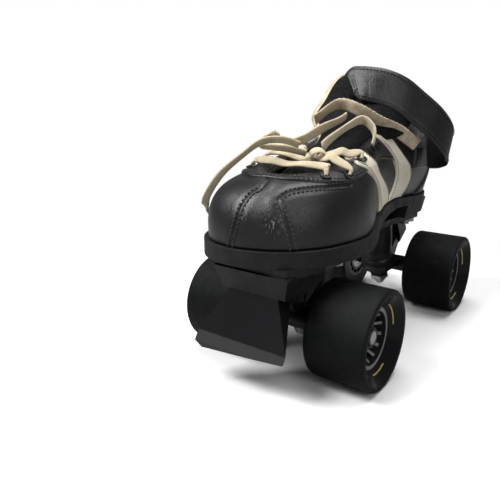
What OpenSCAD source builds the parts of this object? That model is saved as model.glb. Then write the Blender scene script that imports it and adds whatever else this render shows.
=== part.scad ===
// Quad roller skate for the left foot: low laced speed boot on a nylon plate,
// two sprung trucks, four wheels and a toe stop. Millimetres, +Z up, toe towards -Y,
// the outer side of the foot towards +X, floor at z = 0.

/* [Wheels] */
// wheel diameter over the tread
wheel_d = 62; // [57:0.5:65]
// wheel width over both lips
wheel_w = 39.5; // [31:0.5:44]
// distance between the front and the rear axle
wheelbase = 153; // [145:1:160]
// distance from the centre plane to the middle of a wheel
half_track = 46.25; // [40:0.25:52]
// radius of the tread edge on the outer side
outer_lip_r = 1.8; // [1:0.1:4]
// radius of the tread edge on the inner side
inner_lip_r = 2.4; // [1:0.1:6]
// radius where the dished side face begins
dish_r = 27.5; // [24:0.5:28]
// radius of the hub inside the tyre
hub_r = 19; // [16:0.5:21]
// how far the bearings sit in from the middle of the tyre, towards the truck
core_in = 7; // [0:0.5:8]
// number of hub spokes
spoke_count = 14; // [6:1:20]
// thickness of one spoke
spoke_t = 2; // [1.5:0.1:3]

/* [Bearings and axles] */
// bearing outside diameter
bearing_od = 22; // [19:1:24]
// bearing width
bearing_w = 7; // [6:0.5:8]
// gap between the two bearings of a wheel
bearing_gap = 10.3; // [8:0.1:12]
// axle diameter
axle_d = 8; // [7:1:8]
// axle nut width across the corners
axle_nut_d = 15; // [13:0.5:16]
// axle nut height
axle_nut_h = 5.5; // [4:0.5:7]

/* [Trucks] */
// steering range each way, degrees
steer_range = 8; // [4:1:12]
// kingpin distance inward of the axle
kingpin_back = 17; // [16:0.5:24]
// height of the hanger ring centre above the axle
ring_rise = 3; // [1:0.5:6]
// lean of the kingpin
kingpin_tilt = 18; // [0:1:24]
// kingpin diameter
kingpin_d = 10; // [8:1:12]
// pivot pin end distance outward of the axle
pivot_out = 13.5; // [10:0.5:20]
// height of the pivot pin end above the axle
pivot_rise = 22; // [18:0.5:26]
// pivot pin diameter
pivot_d = 8; // [7:0.5:10]
// hanger ring radius
ring_r = 14; // [12:0.5:16]
// hanger ring thickness
ring_t = 5; // [4:0.5:7]
// hanger tube radius
tube_r = 6.8; // [6:0.1:9]
// upper cushion diameter
cushion_d = 24; // [20:0.5:28]
// upper cushion height
cushion_h = 10; // [8:0.5:14]
// lower cushion height
lower_cushion_h = 7; // [6:0.5:10]

/* [Plate and toe stop] */
// height of the plate's top face above the axles
plate_rise = 46; // [43:0.5:50]
// thickness of the plate's flange
flange_t = 5; // [4:0.5:8]
// half width of the plate under the ball of the foot
plate_front_half = 33; // [28:1:38]
// half width of the plate's waist
plate_waist_half = 16.5; // [12:0.5:22]
// half width of the plate under the heel
plate_heel_half = 22; // [18:1:26]
// lean of the toe stop towards the toe
stop_tilt = 20; // [10:1:30]
// toe stop length along its bolt
stop_len = 36; // [28:1:44]
// toe stop half width at the top
stop_top_half = 17.5; // [14:0.5:22]
// toe stop half width at the flared end
stop_low_half = 31.5; // [24:0.5:36]
// toe stop bolt diameter
stop_bolt_d = 8; // [6:1:10]
// toe stop bolt grip in the plate
stop_grip = 15; // [10:0.5:18]
// mounting bolt diameter
mount_bolt_d = 5; // [4:0.5:6]

/* [Boot] */
// how far the sole stands out round the upper
welt = 3; // [2:0.5:5]
// thickness of the upper
upper_t = 3; // [2:0.25:4]
// thickness of the insole board
insole_t = 3; // [2:0.5:5]
// roundness of the toe box
toe_round = 0.83; // [0.7:0.01:1.5]
// thickness of the leather overlays
overlay_t = 1.1; // [0.8:0.1:2]
// tongue thickness
tongue_t = 9; // [6:0.5:12]

/* [Laces and strap] */
// lace width
lace_w = 8.5; // [6:0.5:10]
// lace thickness
lace_t = 2; // [1.5:0.1:3]
// strap width
strap_w = 27; // [22:1:36]
// strap thickness
strap_t = 3; // [2:0.25:4]

/* [Hidden] */

$fn = 64;
press = 0.02;
running = 0.05;
seat = 0.35;
front_axle_y = -67.5;
rear_axle_y = front_axle_y + wheelbase;
wheel_r = wheel_d / 2;
bearing_r = bearing_od / 2;
axle_r = axle_d / 2;
race_r = 5.8;
cage_r = 9.2;
shield_gap = 0.3;
shield_t = 0.5;
hub_half = bearing_gap / 2 + bearing_w;
inner_washer_t = 0.7;
// place of the bearings' middle along the axle
core_x = half_track - core_in;
hanger_half = core_x - hub_half - inner_washer_t;
washer_t = 0.8;
kingpin_r = kingpin_d / 2;
pivot_r = pivot_d / 2;
cup_wall = 1.5;
lower_cup_r = 7.8;
lower_cushion_r = 9;
ring_z = wheel_r + ring_rise;
pivot_z = wheel_r + pivot_rise;
plate_z = wheel_r + plate_rise;
steer_rise = atan2(pivot_z - ring_z, pivot_out + kingpin_back);
steer_len = norm([pivot_z - ring_z, pivot_out + kingpin_back]);
spacer_r = 5.6;
boss_r = cushion_d / 2 + 0.5;
boss_flare = 3;
kingpin_grip = 16;
pivot_wall = 3;
pivot_boss_r = pivot_r + cup_wall + pivot_wall;
cup_mouth = 4;
cup_h = 10;
cup_floor = 1.5;
pin_over = cup_h - cup_mouth - cup_floor - 0.5;
rib_x = 9;
rib_t = 3;
rib_h = 8;
cross_ribs = [-20, 5, 30];
cup_t = 1.6;
boss_w = ring_t / 2 + cushion_h + cup_t;
nut_bore = 5;
nut_w = ring_t / 2 + lower_cushion_h + cup_t;
nut_hex_r = 8;
nut_hex_h = 3;
nut_cone_h = 6.5;
stop_seat = [-95.5, plate_z - 23];
stop_face_half = 15;
stop_back = 4;
stop_bolt_y = -5;
block_half = 28;
stop_rim = 7.5;
stop_recess_r = 9;
stop_recess_h = 12;
stop_washer_t = 1.5;
stop_head_h = 6;
mount_head_r = 5;
mount_head_h = 2;
mount_nut_r = 4.6;
mount_nut_h = 4;
mount_washer_t = 1;
mount_bolt_out = 5.5;
eyelet_r = 3.4;
eyelet_hole_r = 2;
eyelet_t = 0.9;
eyestay_top = 2 * seat + overlay_t;
stripe_top = 4 * seat + 2 * overlay_t;
collar_r = 3.4;
tongue_bow = 6;
tongue_flat = 0.8;
bar_v = 0.85;
knot_r = 4.2;
knot_turns = 0.12;
side_bulge = 2.5;
toe_bulge = 3.5;
upper_rows = 8;
stripe_half = 1.35;
stripe_lines = [[[0, 22.2], [0.1, 22.1], [0.22, 21.4], [0.37, 19.7], [0.5, 18.1], [0.7, 16.3], [1, 15.1]],
    [[0, 24.4], [0.2, 24.9], [0.4, 24.9], [0.6, 24], [0.8, 22.1], [1, 20.6]]];
around = 3;

// The boot is drawn from the plate's top face upwards.
// sole line of the upper, from the toe round the outer side to the heel and back
sole_line = [[-8, -117.5], [8, -113], [19, -106.5], [30, -94], [37, -79], [41, -58], [39.5, -36], [31, -10],
    [25, 25], [25, 62], [23.5, 94.5], [15, 112.5], [0, 119.5], [-15, 112.5], [-23.5, 94.5], [-23.5, 62],
    [-23, 32], [-27, 4], [-36, -23], [-44, -45], [-47.5, -65], [-47, -85], [-40.5, -101], [-27, -113.5]];

// edge of the throat and collar, station by station with the sole line
top_line = [[-4, -80, 47], [4, -78, 47], [10, -72, 47.5], [14, -62, 48.5], [16.5, -47, 51], [17, -30, 55],
    [17, -11, 62], [19, 10, 69], [26, 36, 66], [31, 66, 61], [27, 97, 64], [16, 113.5, 70],
    [0, 119, 73], [-16, 113.5, 70], [-27, 97, 65], [-31, 66, 62], [-27, 36, 67], [-20, 10, 70],
    [-18, -11, 63], [-18, -30, 56], [-18, -47, 52], [-17, -62, 49], [-15, -72, 47.5], [-11, -78, 47]];

// height of the sole's top and bottom face along the foot
sole_top = [[-130, 9.5], [-45, 9.5], [-20, 14], [5, 18.5], [35, 20], [66, 18], [80, 17], [130, 17]];
sole_low = [[-130, 0], [-45, 0], [-20, 5], [5, 10.5], [35, 13], [58, 11.5], [80, 11.5], [130, 11.5]];

// tongue route in the centre plane, from inside the throat to the top
tongue_route = [[-84, 37], [-66, 42], [-45, 49], [-24, 59.5], [-4, 73], [20, 88.5], [39, 111]];

tongue_halves = [[0, 9], [0.3, 12.5], [0.64, 13.5], [0.75, 21], [0.85, 24], [0.93, 27], [1, 22]];
// the free top is turned towards the inner side and lies flatter there
tongue_flare = [[0.62, 0], [0.7, 8], [0.75, 15], [0.833, 13], [0.917, 8], [1, 4]];

// lace and strap routes
// eyelets: place along the throat, height on the upper, lift of what it is set in
eyelet_spots = [[3.4, 0.74, eyestay_top], [4.5, 0.62, eyestay_top], [5.3, 0.71, stripe_top],
    [6.2, 0.73, eyestay_top], [6.7, 0.76, eyestay_top]];
// the second and third laces run in to both sides of the knot
bar_ends = [[1, [16, -56.5, 57], [-3, -54.5, 55.5]], [2, [17, -49.5, 59], [-6, -46.5, 56]]];
knot_place = [9, -55.5, 58];
loop_route = [[2, -66.2, 64.6], [-6, -73.2, 67.6], [-17, -79.5, 66], [-27, -87, 57], [-36, -94, 47],
    [-44, -97, 35], [-49, -95, 27], [-52, -88, 20]];
curl_route = [[2, -58, 59], [-7, -63.5, 61.5], [-17, -67, 62.3], [-27, -66.5, 62.5], [-30, -60.5, 65],
    [-25, -57, 68.5], [-19, -59.5, 70.5]];
arch_route = [[28, -18, 63.4], [28, -16, 69], [25.5, -15, 74.5], [19, -17, 79], [13, -26, 74.5],
    [9.5, -42, 67], [8.5, -49, 63]];
strand_route = [[-12, -55, 64.2], [-7, -45, 67], [-3.5, -30, 73], [1, -15, 78], [3, -9, 81]];
tail_route = [[-16, -18, 78], [-10, -9, 86], [-2, -5, 89], [11, -5, 85], [21, 4, 78], [28, 20, 72],
    [32.5, 38, 64], [34, 47, 60]];
strap_route = [[36, 67, 54], [43, 73, 54], [50, 73, 57], [52, 64, 64], [47, 52, 75], [36, 40, 87],
    [26, 30, 96.5], [15, 22.5, 102], [2.5, 19, 105], [-9.5, 18, 106.5], [-16, 19, 107]];
strap_lean = [0, 0.45, 0.9];

mount_front = [[19, -86], [24, -54]];
mount_heel = [[13.8, rear_axle_y + 0.5], [13.8, rear_axle_y + 12.5]];
heel_centre = 95.5;
heel_r = 26.5;
heel_taper = 2.5;
heel_front = 60;

function unit(v) = v / norm(v);
function wrap(i, n) = (i + n) % n;
function spline(a, b, c, d, t) = (2 * b + (c - a) * t + (2 * a - 5 * b + 4 * c - d) * t * t
    + (3 * b - a - 3 * c + d) * t * t * t) / 2;
function closed_spline(p, k) = let (n = len(p)) [for (i = [0:n - 1]) for (j = [0:k - 1])
    spline(p[wrap(i - 1, n)], p[i], p[wrap(i + 1, n)], p[wrap(i + 2, n)], j / k)];
function open_at(p, t) = let (n = len(p), i = min(floor(t), n - 2))
    spline(p[max(i - 1, 0)], p[i], p[i + 1], p[min(i + 2, n - 1)], t - i);
function open_spline(p, k) = [for (i = [0:(len(p) - 1) * k]) open_at(p, i / k)];
function flat(v) = [v[0], v[1]];
function out_2d(p, i) = let (n = len(p), t = flat(p[wrap(i + 1, n)] - p[wrap(i - 1, n)]))
    unit([t[1], -t[0]]);
function grown(p, d) = [for (i = [0:len(p) - 1]) flat(p[i]) + d * out_2d(p, i)];

// upper surface: station i round the boot, v from the sole line to the top edge
sole_ring = closed_spline(sole_line, around);
top_ring = closed_spline(top_line, around);
stations = len(sole_ring);
function collar_share(y) = lookup(y, [[-45, 0], [35, 1]]);
function upper_at(i, v) = let (s = sole_ring[wrap(i, stations)], t = top_ring[wrap(i, stations)],
    c = collar_share(s[1]), o = out_2d(sole_ring, wrap(i, stations)), z = lookup(s[1], sole_top) + seat,
    h = (1 - pow(cos(90 * v), toe_round)) * (1 - c) + v * c,
    g = pow(sin(90 * v), toe_round) * (1 - c) + v * c,
    b = (side_bulge * c + toe_bulge * (1 - c) * max(0, -o[0])) * sin(180 * v))
    [s[0] + (t[0] - s[0]) * h + o[0] * b, s[1] + (t[1] - s[1]) * h + o[1] * b, z + (t[2] - z) * g];
function upper_mix(u, v) = let (i = floor(u)) upper_at(i, v) * (1 - u + i) + upper_at(i + 1, v) * (u - i);
function upper_out(u, v) = let (a = max(v - 0.08, 0), b = min(v + 0.08, 1))
    unit(cross(upper_mix(u + 1, v) - upper_mix(u - 1 + stations, v),
        upper_mix(u, b) - upper_mix(u, a)));
function off_upper(u, v, d) = upper_mix(u + stations, v) + d * upper_out(u + stations, v);

// solid through a list of rings with the same number of points
module loft(rings, closed = false) {
    m = len(rings[0]);
    n = len(rings);
    last = closed ? n - 1 : n - 2;
    skin = [for (r = [0:last]) for (p = [0:m - 1]) let (a = r * m + p, b = r * m + wrap(p + 1, m),
        c = wrap(r + 1, n) * m + wrap(p + 1, m), d = wrap(r + 1, n) * m + p) each [[a, c, b], [a, d, c]]];
    ends = closed ? [] : [for (k = [0:m / 2 - 2]) for (e = [0, n - 1]) let (a = e * m + k, b = e * m + k + 1,
        c = e * m + m - 2 - k, d = e * m + m - 1 - k)
        each (e == 0 ? [[a, b, c], [a, c, d]] : [[a, c, b], [a, d, c]])];
    polyhedron(points = [for (r = rings) each r], faces = concat(skin, ends), convexity = 8);
}

// flat band swept along a route, its width kept near the given direction
function band_rings(route, k, width, thick, lean, sides) = let (c = open_spline(route, k), n = len(c))
    [for (i = [0:n - 1]) let (t = unit(c[min(i + 1, n - 1)] - c[max(i - 1, 0)]),
        w = unit(lean - (lean * t) * t), o = cross(t, w))
        [for (j = [0:sides - 1]) let (a = 360 * (j + 0.5) / sides, x = cos(a), y = sin(a))
            c[i] + w * (width / 2) * sign(x) * pow(abs(x), 0.55)
                + o * (thick / 2) * sign(y) * pow(abs(y), 0.8)]];

// overlay lying on the upper between two edges given as station lists over v
module overlay(v_list, u_low, u_high, steps, lift, thick = overlay_t) {
    loft([for (r = [0:len(v_list) - 1]) concat(
        [for (s = [0:steps]) off_upper(u_low[r] + (u_high[r] - u_low[r]) * s / steps, v_list[r], lift[r])],
        [for (s = [steps:-1:0]) off_upper(u_low[r] + (u_high[r] - u_low[r]) * s / steps, v_list[r],
            lift[r] + thick)])]);
}

module boot_upper() {
    color("#1b1b1d")
    loft([for (i = [0:stations - 1]) concat(
        [for (r = [0:upper_rows]) upper_at(i, r / upper_rows)],
        [for (r = [upper_rows:-1:0]) off_upper(i, r / upper_rows, -upper_t)])], closed = true);
}

module side_profile(low, high) {
    rotate([90, 0, 90])
    translate([0, 0, -80])
    linear_extrude(160)
    polygon(concat(high, [for (i = [len(low) - 1:-1:0]) low[i]]));
}

module mount_places(r, h, z) {
    for (p = concat(mount_front, mount_heel))
        for (s = [-1, 1])
            translate([s * p[0], p[1], z])
            cylinder(r = r, h = h);
}

module outsole() {
    color("#242426")
    difference() {
        intersection() {
            linear_extrude(40)
            polygon(grown(closed_spline(sole_line, 5), welt));
            side_profile(sole_low, sole_top);
        }
        mount_places(mount_bolt_d / 2 + press, 60, -5);
    }
}

module heel_block() {
    heel_h = lookup(heel_centre, sole_low);
    foot_r = heel_r - heel_taper;
    color("#2b2b2d")
    difference() {
        union() {
            translate([0, heel_centre, 0])
            cylinder(r1 = foot_r, r2 = heel_r, h = heel_h, $fn = 96);
            translate([0, heel_centre, 0])
            rotate([90, 0, 0])
            linear_extrude(heel_centre - heel_front)
            polygon([[-foot_r, 0], [foot_r, 0], [heel_r, heel_h], [-heel_r, heel_h]]);
        }
        translate([0, heel_front - 8, -1])
        cylinder(r = 16, h = heel_h + 2);
        mount_places(mount_bolt_d / 2 + press, 60, -5);
    }
}

module insole_board() {
    color("#b9a98a")
    difference() {
        intersection() {
            linear_extrude(40)
            polygon(grown(closed_spline(sole_line, 3), -upper_t - 2 * seat));
            side_profile(sole_top, [for (p = sole_top) [p[0], p[1] + insole_t]]);
        }
        mount_places(mount_bolt_d / 2 + press, 60, -5);
    }
}

module tongue() {
    c = open_spline(tongue_route, 3);
    n = len(c);
    across = 8;
    color("#18181a")
    loft([for (i = [0:n - 1]) let (t = unit(c[min(i + 1, n - 1)] - c[max(i - 1, 0)]), o = [-t[1], t[0]],
        f = i / (n - 1), half = lookup(f, tongue_halves), inner = half + lookup(f, tongue_flare),
        flat = tongue_flat * lookup(f, [[0.62, 0], [0.78, 1]]),
        thick = tongue_t * lookup(f, [[0, 0.45], [0.3, 0.7], [0.9, 1], [1, 0.5]]))
        concat(
            [for (s = [0:across])
                let (x = 2 * s / across - 1, bow = tongue_bow * (x > 0 ? 1 - flat : 1),
                    d = -bow * x * x - thick * (0.5 - 0.25 * x * x))
                [-(x > 0 ? inner : half) * x, c[i][0] + o[0] * d, c[i][1] + o[1] * d]],
            [for (s = [across:-1:0])
                let (x = 2 * s / across - 1, bow = tongue_bow * (x > 0 ? 1 - flat : 1),
                    d = -bow * x * x + thick * (0.45 - 0.45 * x * x))
                [-(x > 0 ? inner : half) * x, c[i][0] + o[0] * d, c[i][1] + o[1] * d]])]);
}

module side_stripes() {
    rows = [for (r = [0:10]) 0.04 + 0.092 * r];
    lift = [for (v = rows) lookup(v, [[0.42, seat], [0.54, 3 * seat + overlay_t]])];
    color("#e6dfcf")
    for (line = stripe_lines)
        for (side = [1, -1]) {
            middle = [for (v = rows) side > 0 ? lookup(v, line) : stations - lookup(v, line)];
            overlay(rows, [for (u = middle) u - stripe_half], [for (u = middle) u + stripe_half], 4, lift);
        }
}

module eyestays() {
    rows = 4;
    color("#1f1f21")
    loft([for (u = [-23:23])
        let (low = lookup(abs(u), [[0, 0.88], [6, 0.8], [10, 0.65], [13, 0.56], [23, 0.55]])) concat(
        [for (r = [0:rows]) off_upper(u, low + (0.97 - low) * r / rows, seat + overlay_t)],
        [for (r = [rows:-1:0]) off_upper(u, low + (0.97 - low) * r / rows, seat)])]);
}

module eyelets() {
    color("#303033")
    for (spot = eyelet_spots)
        for (u = [spot[0] * around, stations - spot[0] * around])
            let (p = off_upper(u, spot[1], spot[2]), n = upper_out(u + stations, spot[1]))
            translate(p)
            rotate([0, acos(n[2]), atan2(n[1], n[0])])
            difference() {
                cylinder(r = eyelet_r, h = eyelet_t);
                translate([0, 0, -1])
                cylinder(r = eyelet_hole_r, h = eyelet_t + 2);
            }
}

module heel_counter() {
    rows = [0.02, 0.2, 0.4, 0.6, 0.8];
    color("#202022")
    overlay(rows, [for (v = rows) 27.7 + 6 * v], [for (v = rows) stations - 27.7 - 6 * v], 24,
        [for (v = rows) 2 * seat]);
}

module collar_pad() {
    color("#141416")
    loft([for (i = [21:stations - 21]) let (p = off_upper(i, 0.97, -upper_t - collar_r - 2 * seat),
        a = unit(off_upper(i, 0.97, 0) - p), b = [0, 0, 1])
        [for (j = [0:7]) p + collar_r * (a * cos(45 * j) + b * 1.3 * sin(45 * j))]]);
}

module strap_tab() {
    rows = [0.52, 0.62, 0.72, 0.82, 0.92];
    color("#1c1c1e")
    overlay(rows, [for (v = rows) 25.8], [for (v = rows) 28.6], 3, [for (v = rows) seat], 2);
}

module strap() {
    color("#1a1a1c")
    loft(band_rings(strap_route, 3, strap_w, strap_t, strap_lean, 10));
}

module strap_hook_patch() {
    behind = [0.8, 3.4, -0.8];
    color("#0f0f10")
    loft(band_rings([for (p = [7:9]) strap_route[p] + behind], 3, strap_w - 7, 1.6, strap_lean, 8));
}

module lace(route, k) {
    color("#ddd3bd")
    loft(band_rings(route, k, lace_w, lace_t, [0.2, -0.6, 0.8], 8));
}

module lace_bar(route) {
    loft(band_rings(route, 3, lace_w - 1, lace_t, [0, 0.8, 0.6], 8));
}

module lace_bars() {
    high = stripe_top + eyelet_t + lace_t + 2.5;
    low = eyestay_top + lace_t + 1.9;
    clear = eyelet_t + lace_t + 0.8;
    first = eyelet_spots[0];
    color("#ddd3bd") {
        let (u = first[0] * around, a = off_upper(u, bar_v, low), b = off_upper(stations - u, bar_v, low),
            c = (a + b) / 2 + [0, -6, 0.5], over = lookup(c[1], tongue_route) + tongue_t - 2,
            m = [c[0], c[1], max(c[2], over)], k = [0, -2, 1])
        lace_bar([off_upper(u, first[1], low + 0.8), a, (a + m) / 2 + k, m, (b + m) / 2 + k, b,
            off_upper(stations - u, first[1], low + 0.8)]);
        for (bar = bar_ends, side = [1, 2])
            let (spot = eyelet_spots[bar[0]], u = side == 1 ? spot[0] * around : stations - spot[0] * around,
                a = off_upper(u, bar_v, high))
            lace_bar([off_upper(u, spot[1], spot[2] + clear), a, (a + bar[side]) / 2 + [0, 0, 1.5],
                bar[side]]);
    }
}

module lace_knot() {
    steps = 16;
    color("#d5cab2")
    translate(knot_place)
    rotate([60, 0, 35])
    rotate_extrude($fn = 24)
    polygon([for (i = [0:steps]) let (a = 180 * i / steps - 90, r = knot_r * (1 + knot_turns * cos(4 * a)))
        [i % steps == 0 ? 0 : r * cos(a), r * sin(a)]]);
}

module lace_loop() { lace(loop_route, 4); }
module lace_curl() { lace(curl_route, 4); }
module lace_arch() { lace(arch_route, 4); }
module lace_strand() { lace(strand_route, 4); }
module lace_tail() { lace(tail_route, 4); }

module on_plate() {
    translate([0, 0, plate_z])
    children();
}

module at_front() {
    translate([0, front_axle_y, 0])
    mirror([0, 1, 0])
    children();
}

module at_rear() {
    translate([0, rear_axle_y, 0])
    children();
}

module on_kingpin() {
    translate([0, -kingpin_back, ring_z])
    rotate([kingpin_tilt, 0, 0])
    children();
}

module on_pivot() {
    translate([0, -kingpin_back, ring_z])
    rotate([steer_rise - 90, 0, 0])
    children();
}

module along_x() {
    rotate([0, 90, 0])
    children();
}

module kingpin_boss() {
    intersection() {
        on_kingpin()
        translate([0, 0, boss_w])
        cylinder(r1 = boss_r, r2 = boss_r + boss_flare, h = 40);
        translate([-30, -60, 0])
        cube([60, 80, plate_z - flange_t + 0.5]);
    }
}

module pivot_boss() {
    intersection() {
        union() {
            on_pivot()
            translate([0, 0, steer_len - cup_mouth])
            cylinder(r = pivot_boss_r, h = cup_h + 4);
            on_pivot()
            translate([-pivot_boss_r, -30, steer_len - cup_mouth])
            cube([2 * pivot_boss_r, 30, cup_h + 4]);
        }
        translate([-30, -40, 0])
        cube([60, 80, plate_z - flange_t + 0.5]);
    }
}

module plate_bores() {
    on_kingpin()
    cylinder(r = kingpin_r + press, h = boss_w + kingpin_grip + 2);
    on_pivot()
    translate([0, 0, steer_len - 30])
    cylinder(r = pivot_r + cup_wall + press, h = 30 - cup_mouth + cup_h);
}

module on_stop() {
    translate([0, stop_seat[0], stop_seat[1]])
    rotate([-stop_tilt, 0, 0])
    children();
}

module toe_block() {
    along = stop_face_half * [-cos(stop_tilt), sin(stop_tilt)];
    under = plate_z - flange_t + 1;
    intersection() {
        rotate([90, 0, 90])
        translate([0, 0, -40])
        linear_extrude(80)
        polygon([[stop_seat[0] - 18.5, under], stop_seat + along, stop_seat - along, stop_seat + [19.5, 0],
            [stop_seat[0] + 33.5, under]]);
        translate([0, stop_seat[0] + 45, 0])
        rotate([90, 0, 0])
        linear_extrude(80)
        polygon([[-stop_top_half, stop_seat[1] - 9], [stop_top_half, stop_seat[1] - 9],
            [block_half, plate_z],
            [-block_half, plate_z]]);
    }
}

module flange_outline() {
    half = [[24, -112], [29, -98], [plate_front_half, -84], [plate_front_half, -45], [plate_waist_half, -8],
        [plate_waist_half, 48], [plate_heel_half - 2, 76], [plate_heel_half, 96], [16, 114]];
    polygon(concat(half, [for (i = [len(half) - 1:-1:0]) [-half[i][0], half[i][1]]]));
}

module plate() {
    color("#232326")
    difference() {
        union() {
            translate([0, 0, plate_z - flange_t])
            linear_extrude(flange_t)
            flange_outline();
            toe_block();
            at_front()
            kingpin_boss();
            at_rear()
            kingpin_boss();
            difference() {
                at_front()
                pivot_boss();
                on_stop()
                translate([-40, -30, -stop_len])
                cube([80, 30 + stop_back + 2.5, stop_len + 0.5]);
            }
            at_rear()
            pivot_boss();
            for (s = [-1, 1])
                translate([s * rib_x - rib_t / 2, front_axle_y + kingpin_back, plate_z - flange_t - rib_h])
                cube([rib_t, wheelbase - 2 * kingpin_back, rib_h + 1]);
            for (y = cross_ribs)
                translate([-rib_x, y - rib_t / 2, plate_z - flange_t - rib_h + 2])
                cube([2 * rib_x, rib_t, rib_h - 1]);
        }
        at_front()
        plate_bores();
        at_rear()
        plate_bores();
        on_stop()
        translate([0, stop_bolt_y, -1])
        cylinder(r = stop_bolt_d / 2 + press, h = stop_grip + 2);
        mount_places(mount_bolt_d / 2 + press, 60, plate_z - 40);
    }
}

module mount_bolts() {
    low = plate_z - flange_t - mount_bolt_out;
    color("#8d9094")
    for (p = concat(mount_front, mount_heel))
        for (s = [-1, 1])
            let (top = plate_z + lookup(p[1], sole_top) + insole_t)
            translate([s * p[0], p[1], 0]) {
                translate([0, 0, low])
                cylinder(r = mount_bolt_d / 2, h = top - low);
                translate([0, 0, top])
                cylinder(r1 = mount_head_r, r2 = mount_head_r - 1.5, h = mount_head_h);
            }
}

module mount_nuts() {
    high = mount_nut_h + mount_washer_t;
    color("#c9ccd0")
    for (p = concat([mount_front[1]], mount_heel))
        for (s = [-1, 1])
            translate([s * p[0], p[1], plate_z - flange_t - high])
            difference() {
                union() {
                    cylinder(r = mount_nut_r, h = mount_nut_h, $fn = 6);
                    translate([0, 0, mount_nut_h])
                    cylinder(r = mount_head_r, h = mount_washer_t);
                }
                translate([0, 0, -1])
                cylinder(r = mount_bolt_d / 2 + press, h = high + 2);
            }
}

module toe_stop() {
    color("#101012")
    on_stop()
    translate([0, 0, -stop_len])
    difference() {
        intersection() {
            rotate([90, 0, 0])
            translate([0, 0, -40])
            linear_extrude(80)
            polygon([[-stop_top_half, stop_len], [stop_top_half, stop_len], [stop_low_half, stop_rim],
                [stop_low_half, stop_rim - 2.5], [stop_low_half - 2.5, 2], [1 - stop_low_half, -3.5],
                [-stop_low_half - 3, 0], [-stop_low_half, stop_rim]]);
            rotate([90, 0, 90])
            translate([0, 0, -50])
            linear_extrude(100)
            polygon([[-stop_face_half, stop_len], [-stop_face_half - 3.2, stop_rim],
                [-stop_face_half - 1, 0],
                [2.5 - stop_face_half, -4], [stop_face_half - 6, -4], [stop_face_half - 4, 3],
                [stop_back, stop_len]]);
            translate([0, 0, -5])
            linear_extrude(stop_len + 6)
            polygon([[-stop_low_half - 4.5, -stop_face_half - 5], [stop_low_half + 1.5, -stop_face_half - 5],
                [6, 13], [-6, 13], [-stop_low_half - 4.5, -stop_face_half - 1]]);
        }
        translate([0, stop_bolt_y, -5])
        cylinder(r = stop_bolt_d / 2 + press, h = stop_len + 6);
        translate([0, stop_bolt_y, -5])
        cylinder(r = stop_recess_r, h = stop_recess_h + 5);
    }
}

module toe_stop_bolt() {
    shoulder = stop_recess_h - stop_washer_t;
    color("#9a9da1")
    on_stop()
    translate([0, stop_bolt_y, -stop_len]) {
        translate([0, 0, shoulder])
        cylinder(r = stop_bolt_d / 2, h = stop_len - shoulder + stop_grip);
        translate([0, 0, shoulder])
        cylinder(r = stop_recess_r - 0.8, h = stop_washer_t);
        translate([0, 0, shoulder - stop_head_h])
        cylinder(r = stop_recess_r - 1.8, h = stop_head_h, $fn = 6);
    }
}

module kingpin() {
    color("#85888c")
    on_kingpin()
    translate([0, 0, 0.2 - nut_w - nut_bore])
    cylinder(r = kingpin_r, h = boss_w + nut_w + nut_bore + kingpin_grip);
}

module cushion_upper() {
    color("#17171a")
    on_kingpin()
    translate([0, 0, ring_t / 2])
    difference() {
        rotate_extrude()
        polygon([[0, 0], [cushion_d / 2, 0], [cushion_d / 2, cushion_h * 0.35],
            [cushion_d / 2 - 1.2, cushion_h * 0.5],
            [cushion_d / 2, cushion_h * 0.65], [cushion_d / 2, cushion_h], [0, cushion_h]]);
        translate([0, 0, -1])
        cylinder(r = kingpin_r + running, h = cushion_h + 2);
    }
}

module cushion_lower() {
    color("#17171a")
    on_kingpin()
    translate([0, 0, -ring_t / 2 - lower_cushion_h])
    difference() {
        cylinder(r1 = lower_cup_r - 0.6, r2 = lower_cushion_r, h = lower_cushion_h);
        translate([0, 0, -1])
        cylinder(r = kingpin_r + running, h = lower_cushion_h + 2);
    }
}

module cups() {
    color("#3a3b3e")
    on_kingpin()
    difference() {
        union() {
            translate([0, 0, boss_w - cup_t])
            cylinder(r = cushion_d / 2, h = cup_t);
            translate([0, 0, -nut_w])
            cylinder(r1 = lower_cup_r - 0.8, r2 = lower_cup_r, h = cup_t);
        }
        translate([0, 0, -40])
        cylinder(r = kingpin_r + press, h = 80);
    }
}

module kingpin_nut() {
    color("#8f9296")
    on_kingpin()
    translate([0, 0, -nut_w])
    difference() {
        union() {
            translate([0, 0, -nut_hex_h])
            cylinder(r = nut_hex_r, h = nut_hex_h, $fn = 6);
            translate([0, 0, -nut_hex_h - nut_cone_h])
            cylinder(r1 = 3, r2 = nut_hex_r - 0.6, h = nut_cone_h);
        }
        translate([0, 0, -nut_bore])
        cylinder(r = kingpin_r + press, h = nut_bore + 1);
    }
}

module pivot_cup() {
    color("#2e2e31")
    on_pivot()
    translate([0, 0, steer_len - cup_mouth])
    difference() {
        cylinder(r = pivot_r + cup_wall, h = cup_h);
        translate([0, 0, -1])
        cylinder(r = pivot_r + running, h = cup_h - cup_floor + 1);
    }
}

module hanger_tube() {
    along_x()
    translate([0, 0, -20])
    cylinder(r = tube_r, h = 40);
    for (s = [0, 1])
        mirror([s, 0, 0])
        along_x()
        translate([0, 0, 20])
        cylinder(r1 = tube_r, r2 = 6, h = hanger_half - 20);
}

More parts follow.
